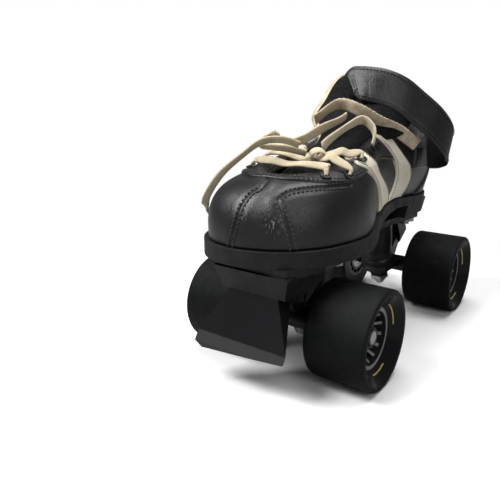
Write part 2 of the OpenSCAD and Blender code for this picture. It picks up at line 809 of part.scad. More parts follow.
module truck_hanger() {
    color("#26272a")
    difference() {
        union() {
            translate([0, 0, wheel_r])
            hanger_tube();
            on_kingpin()
            translate([0, 0, -ring_t / 2])
            cylinder(r = ring_r, h = ring_t);
            translate([-ring_r, 0, wheel_r])
            rotate([90, 0, 90])
            linear_extrude(2 * ring_r)
            polygon([[-15, 1], [-5, -3], [-2, 5], [-5, 6.5], [-15, 4.5]]);
            rotate([90, 0, 90])
            translate([0, 0, -6])
            linear_extrude(12)
            polygon([[-5, wheel_r + 5], [5, wheel_r + 5], [pivot_out - 1.5, pivot_z - 7],
                [pivot_out - 7.5, pivot_z - 1],
                [-3, pivot_z - 10]]);
            on_pivot()
            translate([0, 0, steer_len - 14])
            cylinder(r = pivot_r, h = 14 + pin_over);
        }
        translate([0, 0, wheel_r])
        along_x()
        translate([0, 0, -50])
        cylinder(r = axle_r + press, h = 100);
        on_kingpin()
        translate([0, 0, -ring_t])
        cylinder(r = kingpin_r + 2, h = 2 * ring_t);
        on_kingpin()
        translate([0, 0, -ring_t / 2 - 20])
        cylinder(r = lower_cushion_r + 1, h = 20);
        on_kingpin()
        translate([0, 0, ring_t / 2])
        cylinder(r = cushion_d / 2 + 1, h = cushion_h + 10);
    }
}

module axle() {
    color("#a5a8ac")
    translate([0, 0, wheel_r])
    along_x()
    translate([0, 0, -core_x - hub_half - washer_t - axle_nut_h])
    cylinder(r = axle_r, h = 2 * (core_x + hub_half + washer_t + axle_nut_h));
}

module both_sides() {
    translate([0, 0, wheel_r])
    for (s = [0, 1])
        mirror([s, 0, 0])
        along_x()
        children();
}

module sleeve(from, to, r_in, r_out) {
    translate([0, 0, from])
    difference() {
        cylinder(r = r_out, h = to - from);
        translate([0, 0, -1])
        cylinder(r = r_in, h = to - from + 2);
    }
}

module spacers() {
    color("#b3b6ba")
    both_sides() {
        sleeve(hanger_half, core_x - hub_half, axle_r + running, spacer_r);
        sleeve(core_x - bearing_gap / 2, core_x + bearing_gap / 2, axle_r + running, spacer_r);
        sleeve(core_x + hub_half, core_x + hub_half + washer_t, axle_r + running, spacer_r);
    }
}

module inner_races() {
    color("#c4c7ca")
    both_sides()
    for (s = [-1, 1])
        let (c = core_x + s * (bearing_gap + bearing_w) / 2)
        sleeve(c - bearing_w / 2, c + bearing_w / 2, axle_r + running, race_r);
}

module axle_nuts() {
    color("#d0d2d5")
    both_sides()
    translate([0, 0, core_x + hub_half + washer_t])
    difference() {
        union() {
            cylinder(r = axle_nut_d / 2, h = axle_nut_h - 1.5, $fn = 6);
            translate([0, 0, axle_nut_h - 1.5])
            cylinder(r = axle_nut_d / 2 - 1.8, h = 1.5);
        }
        translate([0, 0, -1])
        cylinder(r = axle_r + press, h = axle_nut_h + 2);
    }
}

module wheel_place(side) {
    translate([side * half_track, 0, wheel_r])
    mirror([side > 0 ? 0 : 1, 0, 0])
    along_x()
    children();
}

module lip_cut(r) {
    difference() {
        square(r + 1);
        circle(r);
    }
}

module tyre() {
    half = wheel_w / 2;
    color("#1d1d1f")
    rotate_extrude($fn = 96)
    difference() {
        polygon([[hub_r + press, -hub_half - core_in], [dish_r, -half], [wheel_r, -half], [wheel_r, half],
            [dish_r, half],
            [hub_r + press, hub_half]]);
        translate([wheel_r - outer_lip_r, half - outer_lip_r])
        lip_cut(outer_lip_r);
        mirror([0, 1])
        translate([wheel_r - inner_lip_r, half - inner_lip_r])
        lip_cut(inner_lip_r);
    }
}

module hub() {
    rim_t = 2.4;
    boss_t = 2.2;
    spoke_in = bearing_r + 1;
    spoke_out = hub_r - 1;
    low = 1 - hub_half - core_in;
    color("#77797d")
    difference() {
        union() {
            sleeve(-hub_half - core_in, hub_half, hub_r - rim_t, hub_r);
            sleeve(-hub_half - core_in, hub_half - core_in, bearing_r - 2, bearing_r + boss_t);
            sleeve(-2 - core_in, 2 - core_in, bearing_r - 2, hub_r - 1);
            for (i = [0:spoke_count - 1])
                rotate([0, 0, i * 360 / spoke_count])
                rotate([90, 0, 0])
                translate([0, 0, -spoke_t / 2])
                linear_extrude(spoke_t)
                polygon([[spoke_in, low], [spoke_out, low], [spoke_out, hub_half - 1],
                    [spoke_in, hub_half - core_in - 1]]);
        }
        for (s = [-1, 1])
            translate([0, 0, s * (bearing_gap + bearing_w) / 2 - bearing_w / 2 - (s > 0 ? 0 : 1) - core_in])
            cylinder(r = bearing_r + press, h = bearing_w + 1);
    }
}

module bearings() {
    color("#b9bcc0")
    for (s = [-1, 1])
        translate([0, 0, s * (bearing_gap + bearing_w) / 2 - core_in])
        rotate_extrude()
        polygon([[bearing_r, -bearing_w / 2], [bearing_r, bearing_w / 2], [cage_r, bearing_w / 2],
            [cage_r, bearing_w / 2 - shield_t], [race_r + shield_gap, bearing_w / 2 - shield_t],
            [race_r + shield_gap, bearing_w / 2 - 2 * shield_t], [cage_r, bearing_w / 2 - 2 * shield_t],
            [cage_r, 2 * shield_t - bearing_w / 2], [race_r + shield_gap, 2 * shield_t - bearing_w / 2],
            [race_r + shield_gap, shield_t - bearing_w / 2], [cage_r, shield_t - bearing_w / 2],
            [cage_r, -bearing_w / 2]]);
}

on_plate() boot_upper();
on_plate() outsole();
on_plate() heel_block();
on_plate() insole_board();
on_plate() tongue();
on_plate() side_stripes();
on_plate() eyestays();
on_plate() eyelets();
on_plate() heel_counter();
on_plate() collar_pad();
on_plate() strap_tab();
on_plate() strap();
on_plate() strap_hook_patch();
on_plate() lace_bars();
on_plate() lace_knot();
on_plate() lace_loop();
on_plate() lace_curl();
on_plate() lace_arch();
on_plate() lace_strand();
on_plate() lace_tail();
plate();
mount_bolts();
mount_nuts();
toe_stop();
toe_stop_bolt();
at_front() kingpin();  // front_kingpin
at_front() cushion_upper();  // front_cushion_upper
at_front() cushion_lower();  // front_cushion_lower
at_front() cups();  // front_cups
at_front() kingpin_nut();  // front_kingpin_nut
at_front() pivot_cup();  // front_pivot_cup
at_front() truck_hanger();  // front_hanger
at_front() axle();  // front_axle
at_front() spacers();  // front_spacers
at_front() inner_races();  // front_inner_races
at_front() axle_nuts();  // front_axle_nuts
at_rear() kingpin();  // rear_kingpin
at_rear() cushion_upper();  // rear_cushion_upper
at_rear() cushion_lower();  // rear_cushion_lower
at_rear() cups();  // rear_cups
at_rear() kingpin_nut();  // rear_kingpin_nut
at_rear() pivot_cup();  // rear_pivot_cup
at_rear() truck_hanger();  // rear_hanger
at_rear() axle();  // rear_axle
at_rear() spacers();  // rear_spacers
at_rear() inner_races();  // rear_inner_races
at_rear() axle_nuts();  // rear_axle_nuts
at_front() wheel_place(1) tyre();  // front_left_tyre
at_front() wheel_place(1) hub();  // front_left_hub
at_front() wheel_place(1) bearings();  // front_left_bearings
at_front() wheel_place(-1) tyre();  // front_right_tyre
at_front() wheel_place(-1) hub();  // front_right_hub
at_front() wheel_place(-1) bearings();  // front_right_bearings
at_rear() wheel_place(1) tyre();  // rear_left_tyre
at_rear() wheel_place(1) hub();  // rear_left_hub
at_rear() wheel_place(1) bearings();  // rear_left_bearings
at_rear() wheel_place(-1) tyre();  // rear_right_tyre
at_rear() wheel_place(-1) hub();  // rear_right_hub
at_rear() wheel_place(-1) bearings();  // rear_right_bearings
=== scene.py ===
import math

import bpy
import numpy as np
from mathutils import Matrix, Vector
from mathutils.kdtree import KDTree


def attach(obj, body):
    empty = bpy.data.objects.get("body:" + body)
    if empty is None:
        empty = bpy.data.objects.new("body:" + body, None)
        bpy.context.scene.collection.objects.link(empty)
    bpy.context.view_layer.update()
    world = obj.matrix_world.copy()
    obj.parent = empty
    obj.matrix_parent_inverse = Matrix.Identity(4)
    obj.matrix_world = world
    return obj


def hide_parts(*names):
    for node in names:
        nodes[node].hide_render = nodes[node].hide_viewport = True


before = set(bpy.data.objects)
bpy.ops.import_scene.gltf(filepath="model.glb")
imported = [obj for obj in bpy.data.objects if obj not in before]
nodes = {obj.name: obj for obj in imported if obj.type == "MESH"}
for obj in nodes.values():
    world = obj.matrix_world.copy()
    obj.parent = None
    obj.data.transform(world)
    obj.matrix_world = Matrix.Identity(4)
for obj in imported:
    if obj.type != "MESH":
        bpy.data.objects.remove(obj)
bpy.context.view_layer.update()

MM = 0.001

# the part's own sizes, mm
PLATE_Z = 77.0
SEAT = 0.35
UPPER_T = 3.0
OVERLAY_T = 1.1
TONGUE_T = 9.0
TONGUE_BOW = 6.0
LACE_T = 2.0
STRAP_W = 27.0
STRAP_T = 3.0
ROOT_T = 2.0
WHEEL_R = 31.0
HALF_TRACK = 46.25
FRONT_AXLE_Y = -67.5
REAR_AXLE_Y = 85.5
HUB_R = 19.0
HUB_HALF = 12.15
DISH_R = 27.5
WHEEL_HALF = 19.75
EYESTAY_TOP = 1.8
STRIPE_TOP = 3.6

# sizes of the looks alone, mm
LACE_W = 6.8
FRAYED_W = 9.5
GATHERED_W = 5.6
FOLDED_W = 5.0
SHEET_SUNK = 0.6
RIM_SUNK = 0.08
THREAD_LIFT = 0.05

# lines and routes, their heights taken from the top of the plate: (x, y) round the sole,
# (x, y, z) round the top edge, (y, z) along the sole's top face and along the tongue
ON_PLATE = np.array([0, 0, PLATE_Z])
AROUND = 3  # stations from one point of an edge to the next
SOLE_LINE = np.array([
    (-8, -117.5), (8, -113), (19, -106.5), (30, -94), (37, -79), (41, -58), (39.5, -36), (31, -10),
    (25, 25), (25, 62), (23.5, 94.5), (15, 112.5), (0, 119.5), (-15, 112.5), (-23.5, 94.5), (-23.5, 62),
    (-23, 32), (-27, 4), (-36, -23), (-44, -45), (-47.5, -65), (-47, -85), (-40.5, -101),
    (-27, -113.5)], float)
TOP_LINE = np.array([
    (-4, -80, 47), (4, -78, 47), (10, -72, 47.5), (14, -62, 48.5), (16.5, -47, 51), (17, -30, 55),
    (17, -11, 62), (19, 10, 69), (26, 36, 66), (31, 66, 61), (27, 97, 64), (16, 113.5, 70),
    (0, 119, 73), (-16, 113.5, 70), (-27, 97, 65), (-31, 66, 62), (-27, 36, 67), (-20, 10, 70),
    (-18, -11, 63), (-18, -30, 56), (-18, -47, 52), (-17, -62, 49), (-15, -72, 47.5), (-11, -78, 47)], float)
SOLE_TOP = np.array([
    (-130, 9.5), (-45, 9.5), (-20, 14), (5, 18.5), (35, 20), (66, 18), (80, 17), (130, 17)], float)
STATIONS = AROUND * len(SOLE_LINE)
TONGUE_ROUTE = [(-84, 37), (-66, 42), (-45, 49), (-24, 59.5), (-4, 73), (20, 88.5), (39, 111)]
TONGUE_TIP = (41.5, 114)
TONGUE_RISE = 5
TONGUE_TUCK = 5
TONGUE_HALVES = [(0, 9), (0.3, 12.5), (0.64, 13.5), (0.75, 21), (0.85, 24), (0.93, 27), (1, 22)]
TONGUE_FLARE = [(0.62, 0), (0.7, 8), (0.75, 15), (0.833, 13), (0.917, 8), (1, 4)]
TONGUE_FLAT = 0.8
STRAP_ROUTE = [
    (36, 67, 54), (43, 73, 54), (50, 73, 57), (52, 64, 64), (47, 52, 75), (36, 40, 87), (26, 30, 96.5),
    (15, 22.5, 101.5), (2.5, 19, 103.5), (-9.5, 18, 104), (-16, 19, 104)]
STRAP_LEAN = (0, 0.45, 0.9)
STRAP_SLANT = 16
SLANT_OVER = 30
LACE_LEAN = (0.2, -0.6, 0.8)
KNOT_PLACE = (9, -55.5, 58)
KNOT_TURNS = [
    ((1, 0, 0.3), (0, 0.5, 0.9)), ((0.3, 1, 0), (-0.2, 0, 1)), ((0.8, 0.6, 0), (0.3, -0.4, 0.9))]
LOOP_ROUTE = [
    (2, -66.2, 64.6), (-6, -73.2, 67.6), (-17, -79.5, 66), (-27, -87, 57), (-36, -94, 47), (-44, -97, 35),
    (-49, -95, 27), (-52, -88, 20)]
CURL_ROUTE = [
    (2, -58, 59), (-7, -63.5, 61.5), (-17, -67, 62.3), (-27, -66.5, 62.5), (-30, -60.5, 65), (-25, -57, 68.5),
    (-19, -59.5, 70.5)]
ARCH_ROUTE = [
    (28, -18, 63.4), (28, -16, 69), (25.5, -15, 74.5), (19, -17, 79), (13, -26, 74.5), (9.5, -42, 67),
    (8.5, -49, 63)]
STRAND_ROUTE = [(-12, -55, 64.2), (-7, -45, 67), (-3.5, -30, 73), (1, -15, 78), (3, -9, 81)]
TAIL_ROUTE = [
    (-16, -18, 78), (-10, -9, 86), (-2, -5, 89), (11, -5, 85), (21, 4, 78), (28, 20, 72), (32.5, 38, 64),
    (34, 47, 60)]
BAR_V = 0.85
FIRST_BAR = (3.4, 0.74, EYESTAY_TOP)
KNOT_BARS = [
    ((4.5, 0.62, EYESTAY_TOP), (16, -56.5, 57), (-3, -54.5, 55.5)),
    ((5.3, 0.71, STRIPE_TOP), (17, -49.5, 59), (-6, -46.5, 56))]
LEAN_IN = 1.5


# ---------------------------------------------------------------- surface of the boot


def spline(a, b, c, d, t):
    """Smooth curve from b to c, with a and d before and after them."""
    t = t[..., None]
    return (2 * b + (c - a) * t + (2 * a - 5 * b + 4 * c - d) * t * t + (3 * b - a - 3 * c + d) * t ** 3) / 2


def closed_at(points, t):
    """A smooth closed line through the points, at parameter t."""
    n = len(points)
    i = np.floor(t).astype(int)
    return spline(points[(i - 1) % n], points[i % n], points[(i + 1) % n], points[(i + 2) % n], t - i)


def open_line(points, count):
    """A smooth line through the points, at count even steps of its parameter."""
    p = np.asarray(points, float)
    t = np.linspace(0, len(p) - 1, count)
    i = np.minimum(np.floor(t).astype(int), len(p) - 2)
    last = len(p) - 1
    return spline(p[np.maximum(i - 1, 0)], p[i], p[i + 1], p[np.minimum(i + 2, last)], t - i)


def upper(u, v):
    """Point of the boot's outer face: station u round the boot, v from the sole to the top edge."""
    u, v = np.broadcast_arrays(np.asarray(u, float), np.asarray(v, float))
    t = u / AROUND
    s = closed_at(SOLE_LINE, t)
    e = closed_at(TOP_LINE, t)
    d = closed_at(SOLE_LINE, t + 1 / AROUND) - closed_at(SOLE_LINE, t - 1 / AROUND)
    o = np.stack([d[..., 1], -d[..., 0]], -1)
    o /= np.linalg.norm(o, axis=-1, keepdims=True)
    c = np.interp(s[..., 1], [-45, 35], [0, 1])
    z = np.interp(s[..., 1], SOLE_TOP[:, 0], SOLE_TOP[:, 1]) + SEAT
    cosine = np.clip(np.cos(np.pi / 2 * v), 0, 1)
    sine = np.clip(np.sin(np.pi / 2 * v), 0, 1)
    h = (1 - cosine ** 0.83) * (1 - c) + v * c
    g = sine ** 0.83 * (1 - c) + v * c
    b = (2.5 * c + 3.5 * (1 - c) * np.maximum(0, -o[..., 0])) * np.sin(np.pi * v)
    x = s[..., 0] + (e[..., 0] - s[..., 0]) * h + o[..., 0] * b
    y = s[..., 1] + (e[..., 1] - s[..., 1]) * h + o[..., 1] * b
    return np.stack([x, y, z + (e[..., 2] - z) * g + PLATE_Z], -1)


def outward(u, v):
    """Unit normal of the boot's outer face."""
    u, v = np.broadcast_arrays(np.asarray(u, float), np.asarray(v, float))
    low = np.maximum(v - 0.05, 0)
    high = np.minimum(v + 0.05, 1)
    n = np.cross(upper(u + 0.7, v) - upper(u - 0.7, v), upper(u, high) - upper(u, low))
    return n / np.linalg.norm(n, axis=-1, keepdims=True)


def off_upper(u, v, lift):
    """Point lifted off the boot's outer face along its normal."""
    return upper(u, v) + np.asarray(lift, float)[..., None] * outward(u, v)


def lengths(points):
    """Distance along a line of points, from its start."""
    return np.concatenate([[0], np.cumsum(np.linalg.norm(np.diff(points, axis=0), axis=1))])


def smoothed(values, width):
    """Values evened out over an odd number of steps, the ends held."""
    kernel = np.hanning(width)
    return np.convolve(np.pad(values, width // 2, mode="edge"), kernel / kernel.sum(), mode="valid")


# ---------------------------------------------------------------- meshes


def grid_faces(n, m, wrap_n=False, wrap_m=False):
    """Faces of a grid of n by m points, joined up either way where asked."""
    faces = []
    for i in range(n if wrap_n else n - 1):
        k = (i + 1) % n
        for j in range(m if wrap_m else m - 1):
            q = (j + 1) % m
            faces.append((i * m + j, k * m + j, k * m + q, i * m + q))
    return faces


def tube_faces(n, sides):
    """Faces of a closed tube of n rings, both ends capped."""
    caps = [tuple(range(sides)), tuple(range(n * sides - 1, (n - 1) * sides - 1, -1))]
    return grid_faces(n, sides, wrap_m=True) + caps


def turned(faces):
    """The same faces, looking the other way."""
    return [f[::-1] for f in faces]


def add_piece(name, points, faces, materials, body="boot", uvs=None, face_mats=None):
    """A smooth mesh from points in millimetres, riding on a body."""
    mesh = bpy.data.meshes.new(name)
    mesh.from_pydata((np.asarray(points).reshape(-1, 3) * MM).tolist(), [], faces)
    for material in materials:
        mesh.materials.append(material)
    mesh.polygons.foreach_set("use_smooth", [True] * len(mesh.polygons))
    if face_mats is not None:
        mesh.polygons.foreach_set("material_index", face_mats)
    if uvs is not None:
        corner = np.empty(len(mesh.loops), dtype=np.int32)
        mesh.loops.foreach_get("vertex_index", corner)
        layer = mesh.uv_layers.new(name="UVMap")
        layer.data.foreach_set("uv", np.asarray(uvs, float).reshape(-1, 2)[corner].ravel())
    mesh.update()
    piece = bpy.data.objects.new(name, mesh)
    bpy.context.scene.collection.objects.link(piece)
    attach(piece, body)
    return piece


def ball(sides, rings):
    """Points and faces of a small round body of radius 1, its poles along X."""
    points = [(1, 0, 0)]
    for r in range(1, rings):
        a = np.pi * r / rings
        for k in range(sides):
            b = 2 * np.pi * k / sides
            points.append((np.cos(a), np.sin(a) * np.cos(b), np.sin(a) * np.sin(b)))
    points.append((-1, 0, 0))
    last = len(points) - 1
    faces = [tuple(1 + c for c in f) for f in grid_faces(rings - 1, sides, wrap_m=True)]
    faces += [(0, 1 + k, 1 + (k + 1) % sides) for k in range(sides)]
    faces += [(last, last - 1 - k, last - 1 - (k + 1) % sides) for k in range(sides)]
    return np.array(points, float), faces


STITCH_POINTS, STITCH_FACES = ball(6, 4)


def stitch_row(name, line, normals, material, pitch=2.7, half=(1.1, 0.48, 0.42), body="boot"):
    """Thread stitches along a line of points on a surface."""
    s = lengths(line)
    at = np.arange(pitch / 2, s[-1], pitch)
    p = np.stack([np.interp(at, s, line[:, k]) for k in range(3)], -1)
    n = np.stack([np.interp(at, s, normals[:, k]) for k in range(3)], -1)
    ahead = np.stack([np.interp(at + 0.5, s, line[:, k]) for k in range(3)], -1)
    behind = np.stack([np.interp(at - 0.5, s, line[:, k]) for k in range(3)], -1)
    t = ahead - behind
    t /= np.linalg.norm(t, axis=1, keepdims=True) + 1e-9
    b = np.cross(n, t)
    x, y, z = (STITCH_POINTS[None, :, k, None] * half[k] for k in range(3))
    points = p[:, None] + t[:, None] * x + b[:, None] * y + n[:, None] * z
    m = len(STITCH_POINTS)
    faces = [tuple(k + i * m for k in f) for i in range(len(p)) for f in STITCH_FACES]
    return add_piece(name, points, faces, [material], body)


def surface_line(uv, count, lift):
    """Dense points and normals of a line on the boot given by a few (u, v) points."""
    line = open_line(uv, count)
    u, v = line[:, 0], np.clip(line[:, 1], 0, 1)
    return off_upper(u, v, lift), outward(u, v)


def beside(line, normals, distance):
    """A line moved sideways on the surface that it lies on."""
    t = np.gradient(line, axis=0)
    t /= np.linalg.norm(t, axis=1, keepdims=True) + 1e-9
    return line + np.cross(normals, t) * distance


def panel(name, u, v, lift, thick, material, rim=1.1):
    """A cut piece of sheet lying on the boot, its edges rounded down to what it lies on."""
    base = upper(u, v)
    normal = outward(u, v)
    n, m = u.shape
    across = np.cumsum(np.linalg.norm(np.diff(base, axis=0), axis=2), 0)
    across = np.concatenate([np.zeros((1, m)), across])
    along = np.cumsum(np.linalg.norm(np.diff(base, axis=1), axis=2), 1)
    along = np.concatenate([np.zeros((n, 1)), along], 1)
    edge = np.minimum(np.minimum(across, across[-1:] - across), np.minimum(along, along[:, -1:] - along))
    round_down = np.sqrt(1 - (1 - np.clip(edge / rim, 0, 1)) ** 2)
    face = base + normal * ((lift + thick) * round_down - RIM_SUNK)[..., None]
    back = base - normal * SHEET_SUNK
    count = n * m
    faces = grid_faces(n, m)
    faces += [tuple(count + c for c in f[::-1]) for f in faces]
    rim_line = ([i * m for i in range(n)] + [(n - 1) * m + j for j in range(1, m)]
                + [i * m + m - 1 for i in range(n - 2, -1, -1)] + list(range(m - 2, 0, -1)))
    faces += [(b, a, a + count, b + count) for a, b in zip(rim_line, rim_line[1:] + rim_line[:1])]
    points = np.concatenate([face.reshape(-1, 3), back.reshape(-1, 3)])
    return add_piece(name, points, faces, [material], "boot")


def band_frame(line, lean):
    """Directions along, across and square to a band whose width stays near the lean."""
    t = np.gradient(line, axis=0)
    t /= np.linalg.norm(t, axis=1, keepdims=True)
    lean = np.broadcast_to(np.asarray(lean, float), line.shape)
    w = lean - (lean * t).sum(1, keepdims=True) * t
    w /= np.linalg.norm(w, axis=1, keepdims=True)
    return t, w, np.cross(t, w)


def band(name, line, width, thick, lean, materials, body, sides=14, face_mats=None, half_widths=None,
         twist=None, slant=None):
    """A flat band swept along dense points; twist turns it, slant draws back its lower edge."""
    t, w, o = band_frame(line, lean)
    if twist is not None:
        c, d = np.cos(twist)[:, None], np.sin(twist)[:, None]
        w, o = w * c + o * d, o * c - w * d
    a = 2 * np.pi * (np.arange(sides) + 0.5) / sides
    x = np.sign(np.cos(a)) * np.abs(np.cos(a)) ** 0.55
    y = np.sign(np.sin(a)) * np.abs(np.sin(a)) ** 0.8
    half = np.full(len(line), width / 2) if half_widths is None else half_widths
    points = (line[:, None] + w[:, None] * (half[:, None] * x)[..., None]
              + o[:, None] * (thick / 2 * y)[None, :, None])
    if slant is not None:
        points = points - t[:, None] * (slant[:, None] * (1 - x) / 2)[..., None]
    n = len(line)
    faces = turned(tube_faces(n, sides))
    s = lengths(line)
    uvs = np.stack([np.repeat(s, sides), np.tile(x * width / 2, n)], -1)
    return add_piece(name, points, faces, materials, body, uvs, face_mats)


# ---------------------------------------------------------------- materials


class Look:
    """A principled material with a few node helpers, all in object space."""

    def __init__(self, name, color, rough, metal=0.0, **more):
        self.mat = bpy.data.materials.new(name)
        self.mat.use_nodes = True
        self.tree = self.mat.node_tree
        self.bsdf = self.tree.nodes["Principled BSDF"]
        self.bsdf.inputs["Base Color"].default_value = (*color, 1)
        self.bsdf.inputs["Roughness"].default_value = rough
        self.bsdf.inputs["Metallic"].default_value = metal
        for key, value in more.items():
            self.bsdf.inputs[key.replace("_", " ")].default_value = value
        self.coords = self.tree.nodes.new("ShaderNodeTexCoord")
        self.height = None

    def link(self, a, b):
        self.tree.links.new(a, b)

    def node(self, kind, **values):
        n = self.tree.nodes.new(kind)
        for key, value in values.items():
            setattr(n, key, value)
        return n

    def noise(self, scale, detail=4.0, rough=0.55, coord="Object", stretch=None):
        n = self.node("ShaderNodeTexNoise")
        n.inputs["Scale"].default_value = scale
        n.inputs["Detail"].default_value = detail
        n.inputs["Roughness"].default_value = rough
        self.link(self.placed(coord, stretch), n.inputs["Vector"])
        return n.outputs["Fac"]

    def placed(self, coord, stretch):
        if stretch is None:
            return self.coords.outputs[coord]
        m = self.node("ShaderNodeMapping")
        m.inputs["Scale"].default_value = stretch
        self.link(self.coords.outputs[coord], m.inputs["Vector"])
        return m.outputs["Vector"]

    def cells(self, scale, feature="DISTANCE_TO_EDGE"):
        n = self.node("ShaderNodeTexVoronoi", feature=feature)
        n.inputs["Scale"].default_value = scale
        self.link(self.coords.outputs["Object"], n.inputs["Vector"])
        return n.outputs["Distance"]

    def waves(self, scale, angle, distortion=0.0):
        m = self.node("ShaderNodeMapping")
        m.inputs["Rotation"].default_value = (0, 0, angle)
        self.link(self.coords.outputs["UV"], m.inputs["Vector"])
        n = self.node("ShaderNodeTexWave")
        n.inputs["Scale"].default_value = scale
        n.inputs["Distortion"].default_value = distortion
        self.link(m.outputs["Vector"], n.inputs["Vector"])
        return n.outputs["Fac"]

    def ramp(self, value, *stops):
        n = self.node("ShaderNodeValToRGB")
        while len(n.color_ramp.elements) < len(stops):
            n.color_ramp.elements.new(0.5)
        for e, (place, tone) in zip(n.color_ramp.elements, stops):
            e.position = place
            e.color = (*tone, 1) if hasattr(tone, "__len__") else (tone, tone, tone, 1)
        self.link(value, n.inputs["Fac"])
        return n.outputs["Color"]

    def blend(self, share, a, b):
        n = self.node("ShaderNodeMix", data_type="RGBA")
        self.link(share, n.inputs["Factor"])
        for socket, value in ((n.inputs[6], a), (n.inputs[7], b)):
            if hasattr(value, "__len__"):
                socket.default_value = (*value, 1)
            else:
                self.link(value, socket)
        return n.outputs[2]

    def math(self, operation, a, b):
        n = self.node("ShaderNodeMath", operation=operation)
        for socket, value in zip(n.inputs, (a, b)):
            if isinstance(value, (int, float)):
                socket.default_value = value
            else:
                self.link(value, socket)
        return n.outputs[0]

    def away_from(self, place, flatten=(1, 1, 1)):
        """Distance from a point, in metres."""
        sub = self.node("ShaderNodeVectorMath", operation="SUBTRACT")
        self.link(self.coords.outputs["Object"], sub.inputs[0])
        sub.inputs[1].default_value = place
        mul = self.node("ShaderNodeVectorMath", operation="MULTIPLY")
        self.link(sub.outputs[0], mul.inputs[0])
        mul.inputs[1].default_value = flatten
        size = self.node("ShaderNodeVectorMath", operation="LENGTH")
        self.link(mul.outputs[0], size.inputs[0])
        return size.outputs["Value"]

    def along(self, axis, start):
        """Distance along an axis from a point, in metres."""
        sub = self.node("ShaderNodeVectorMath", operation="SUBTRACT")
        self.link(self.coords.outputs["Object"], sub.inputs[0])
        sub.inputs[1].default_value = start
        dot = self.node("ShaderNodeVectorMath", operation="DOT_PRODUCT")
        self.link(sub.outputs[0], dot.inputs[0])
        dot.inputs[1].default_value = axis
        return dot.outputs["Value"]

    def color(self, socket):
        self.link(socket, self.bsdf.inputs["Base Color"])

    def rough(self, socket):
        self.link(socket, self.bsdf.inputs["Roughness"])

    def bump(self, height, strength, distance):
        n = self.node("ShaderNodeBump")
        n.inputs["Strength"].default_value = strength
        n.inputs["Distance"].default_value = distance
        self.link(height, n.inputs["Height"])
        if self.height is not None:
            self.link(self.height, n.inputs["Normal"])
        self.height = n.outputs["Normal"]
        self.link(self.height, self.bsdf.inputs["Normal"])


def black_vinyl():
    look = Look("black_vinyl_grain", (0.010, 0.010, 0.011), 0.34, Specular_IOR_Level=0.45)
    tone = look.ramp(look.noise(35, 5), (0.3, (0.0050, 0.0050, 0.0058)), (0.7, (0.0095, 0.0095, 0.0108)))
    scuffs = None
    for place, size in (((0.0135, -0.1085, 0.1010), 0.0062), ((0.0185, -0.1060, 0.1070), 0.0035)):
        near = look.ramp(look.away_from(place), (0.0, 1.0), (size, 0.0))
        marks = look.ramp(look.noise(420, 5, 0.6, stretch=(2.4, 2.4, 0.7)), (0.57, 0.0), (0.63, 1.0))
        mark = look.math("MULTIPLY", near, marks)
        scuffs = mark if scuffs is None else look.math("ADD", scuffs, mark)
    look.color(look.blend(scuffs, tone, (0.30, 0.30, 0.30)))
    look.rough(look.ramp(look.noise(60, 4), (0.3, 0.27), (0.75, 0.40)))
    look.bump(look.cells(1150), 0.36, 0.0005)
    look.bump(look.noise(300, 5, 0.6), 0.13, 0.0006)
    look.bump(look.noise(40, 3), 0.10, 0.002)
    return look.mat


def cream_vinyl():
    look = Look("cream_vinyl", (0.78, 0.73, 0.63), 0.48)
    clean = look.ramp(look.noise(45, 5), (0.3, (0.66, 0.58, 0.46)), (0.62, (0.80, 0.735, 0.62)))
    dirt = look.ramp(look.noise(160, 8, 0.7), (0.56, 0.0), (0.72, 0.5))
    look.color(look.blend(dirt, clean, (0.40, 0.33, 0.24)))
    look.rough(look.ramp(look.noise(80, 4), (0.3, 0.42), (0.7, 0.58)))
    look.bump(look.cells(1300), 0.12, 0.0003)
    look.bump(look.noise(120, 4), 0.10, 0.0008)
    return look.mat


def lining():
    look = Look("dark_lining", (0.012, 0.012, 0.013), 0.9, Specular_IOR_Level=0.15, Sheen_Weight=0.1)
    look.color(look.ramp(look.noise(400, 4), (0.3, (0.006, 0.006, 0.0068)), (0.7, (0.020, 0.020, 0.021))))
    look.bump(look.cells(1100), 0.4, 0.0005)
    return look.mat


def tongue_mesh():
    look = Look("tongue_mesh", (0.006, 0.006, 0.007), 0.95, Specular_IOR_Level=0.1, Sheen_Weight=0.03,
                Sheen_Roughness=0.4)
    look.color(look.ramp(look.noise(500, 5), (0.35, (0.003, 0.003, 0.0036)), (0.7, (0.013, 0.0128, 0.0135))))
    look.bump(look.cells(900, "F1"), 0.5, 0.0007)
    look.bump(look.noise(900, 6, 0.7), 0.4, 0.0006)
    return look.mat


def felt(name, dark, pale, stain):
    look = Look(name, pale, 0.95, Sheen_Weight=0.2, Sheen_Roughness=0.5)
    base = look.ramp(look.noise(160, 6, 0.65), (0.3, dark), (0.66, pale))
    look.color(look.blend(look.ramp(look.noise(60, 4), (0.50, 0.0), (0.72, 0.6)), base, stain))
    look.bump(look.noise(900, 8, 0.75), 0.6, 0.0009)
    look.bump(look.noise(180, 4), 0.4, 0.002)
    return look.mat


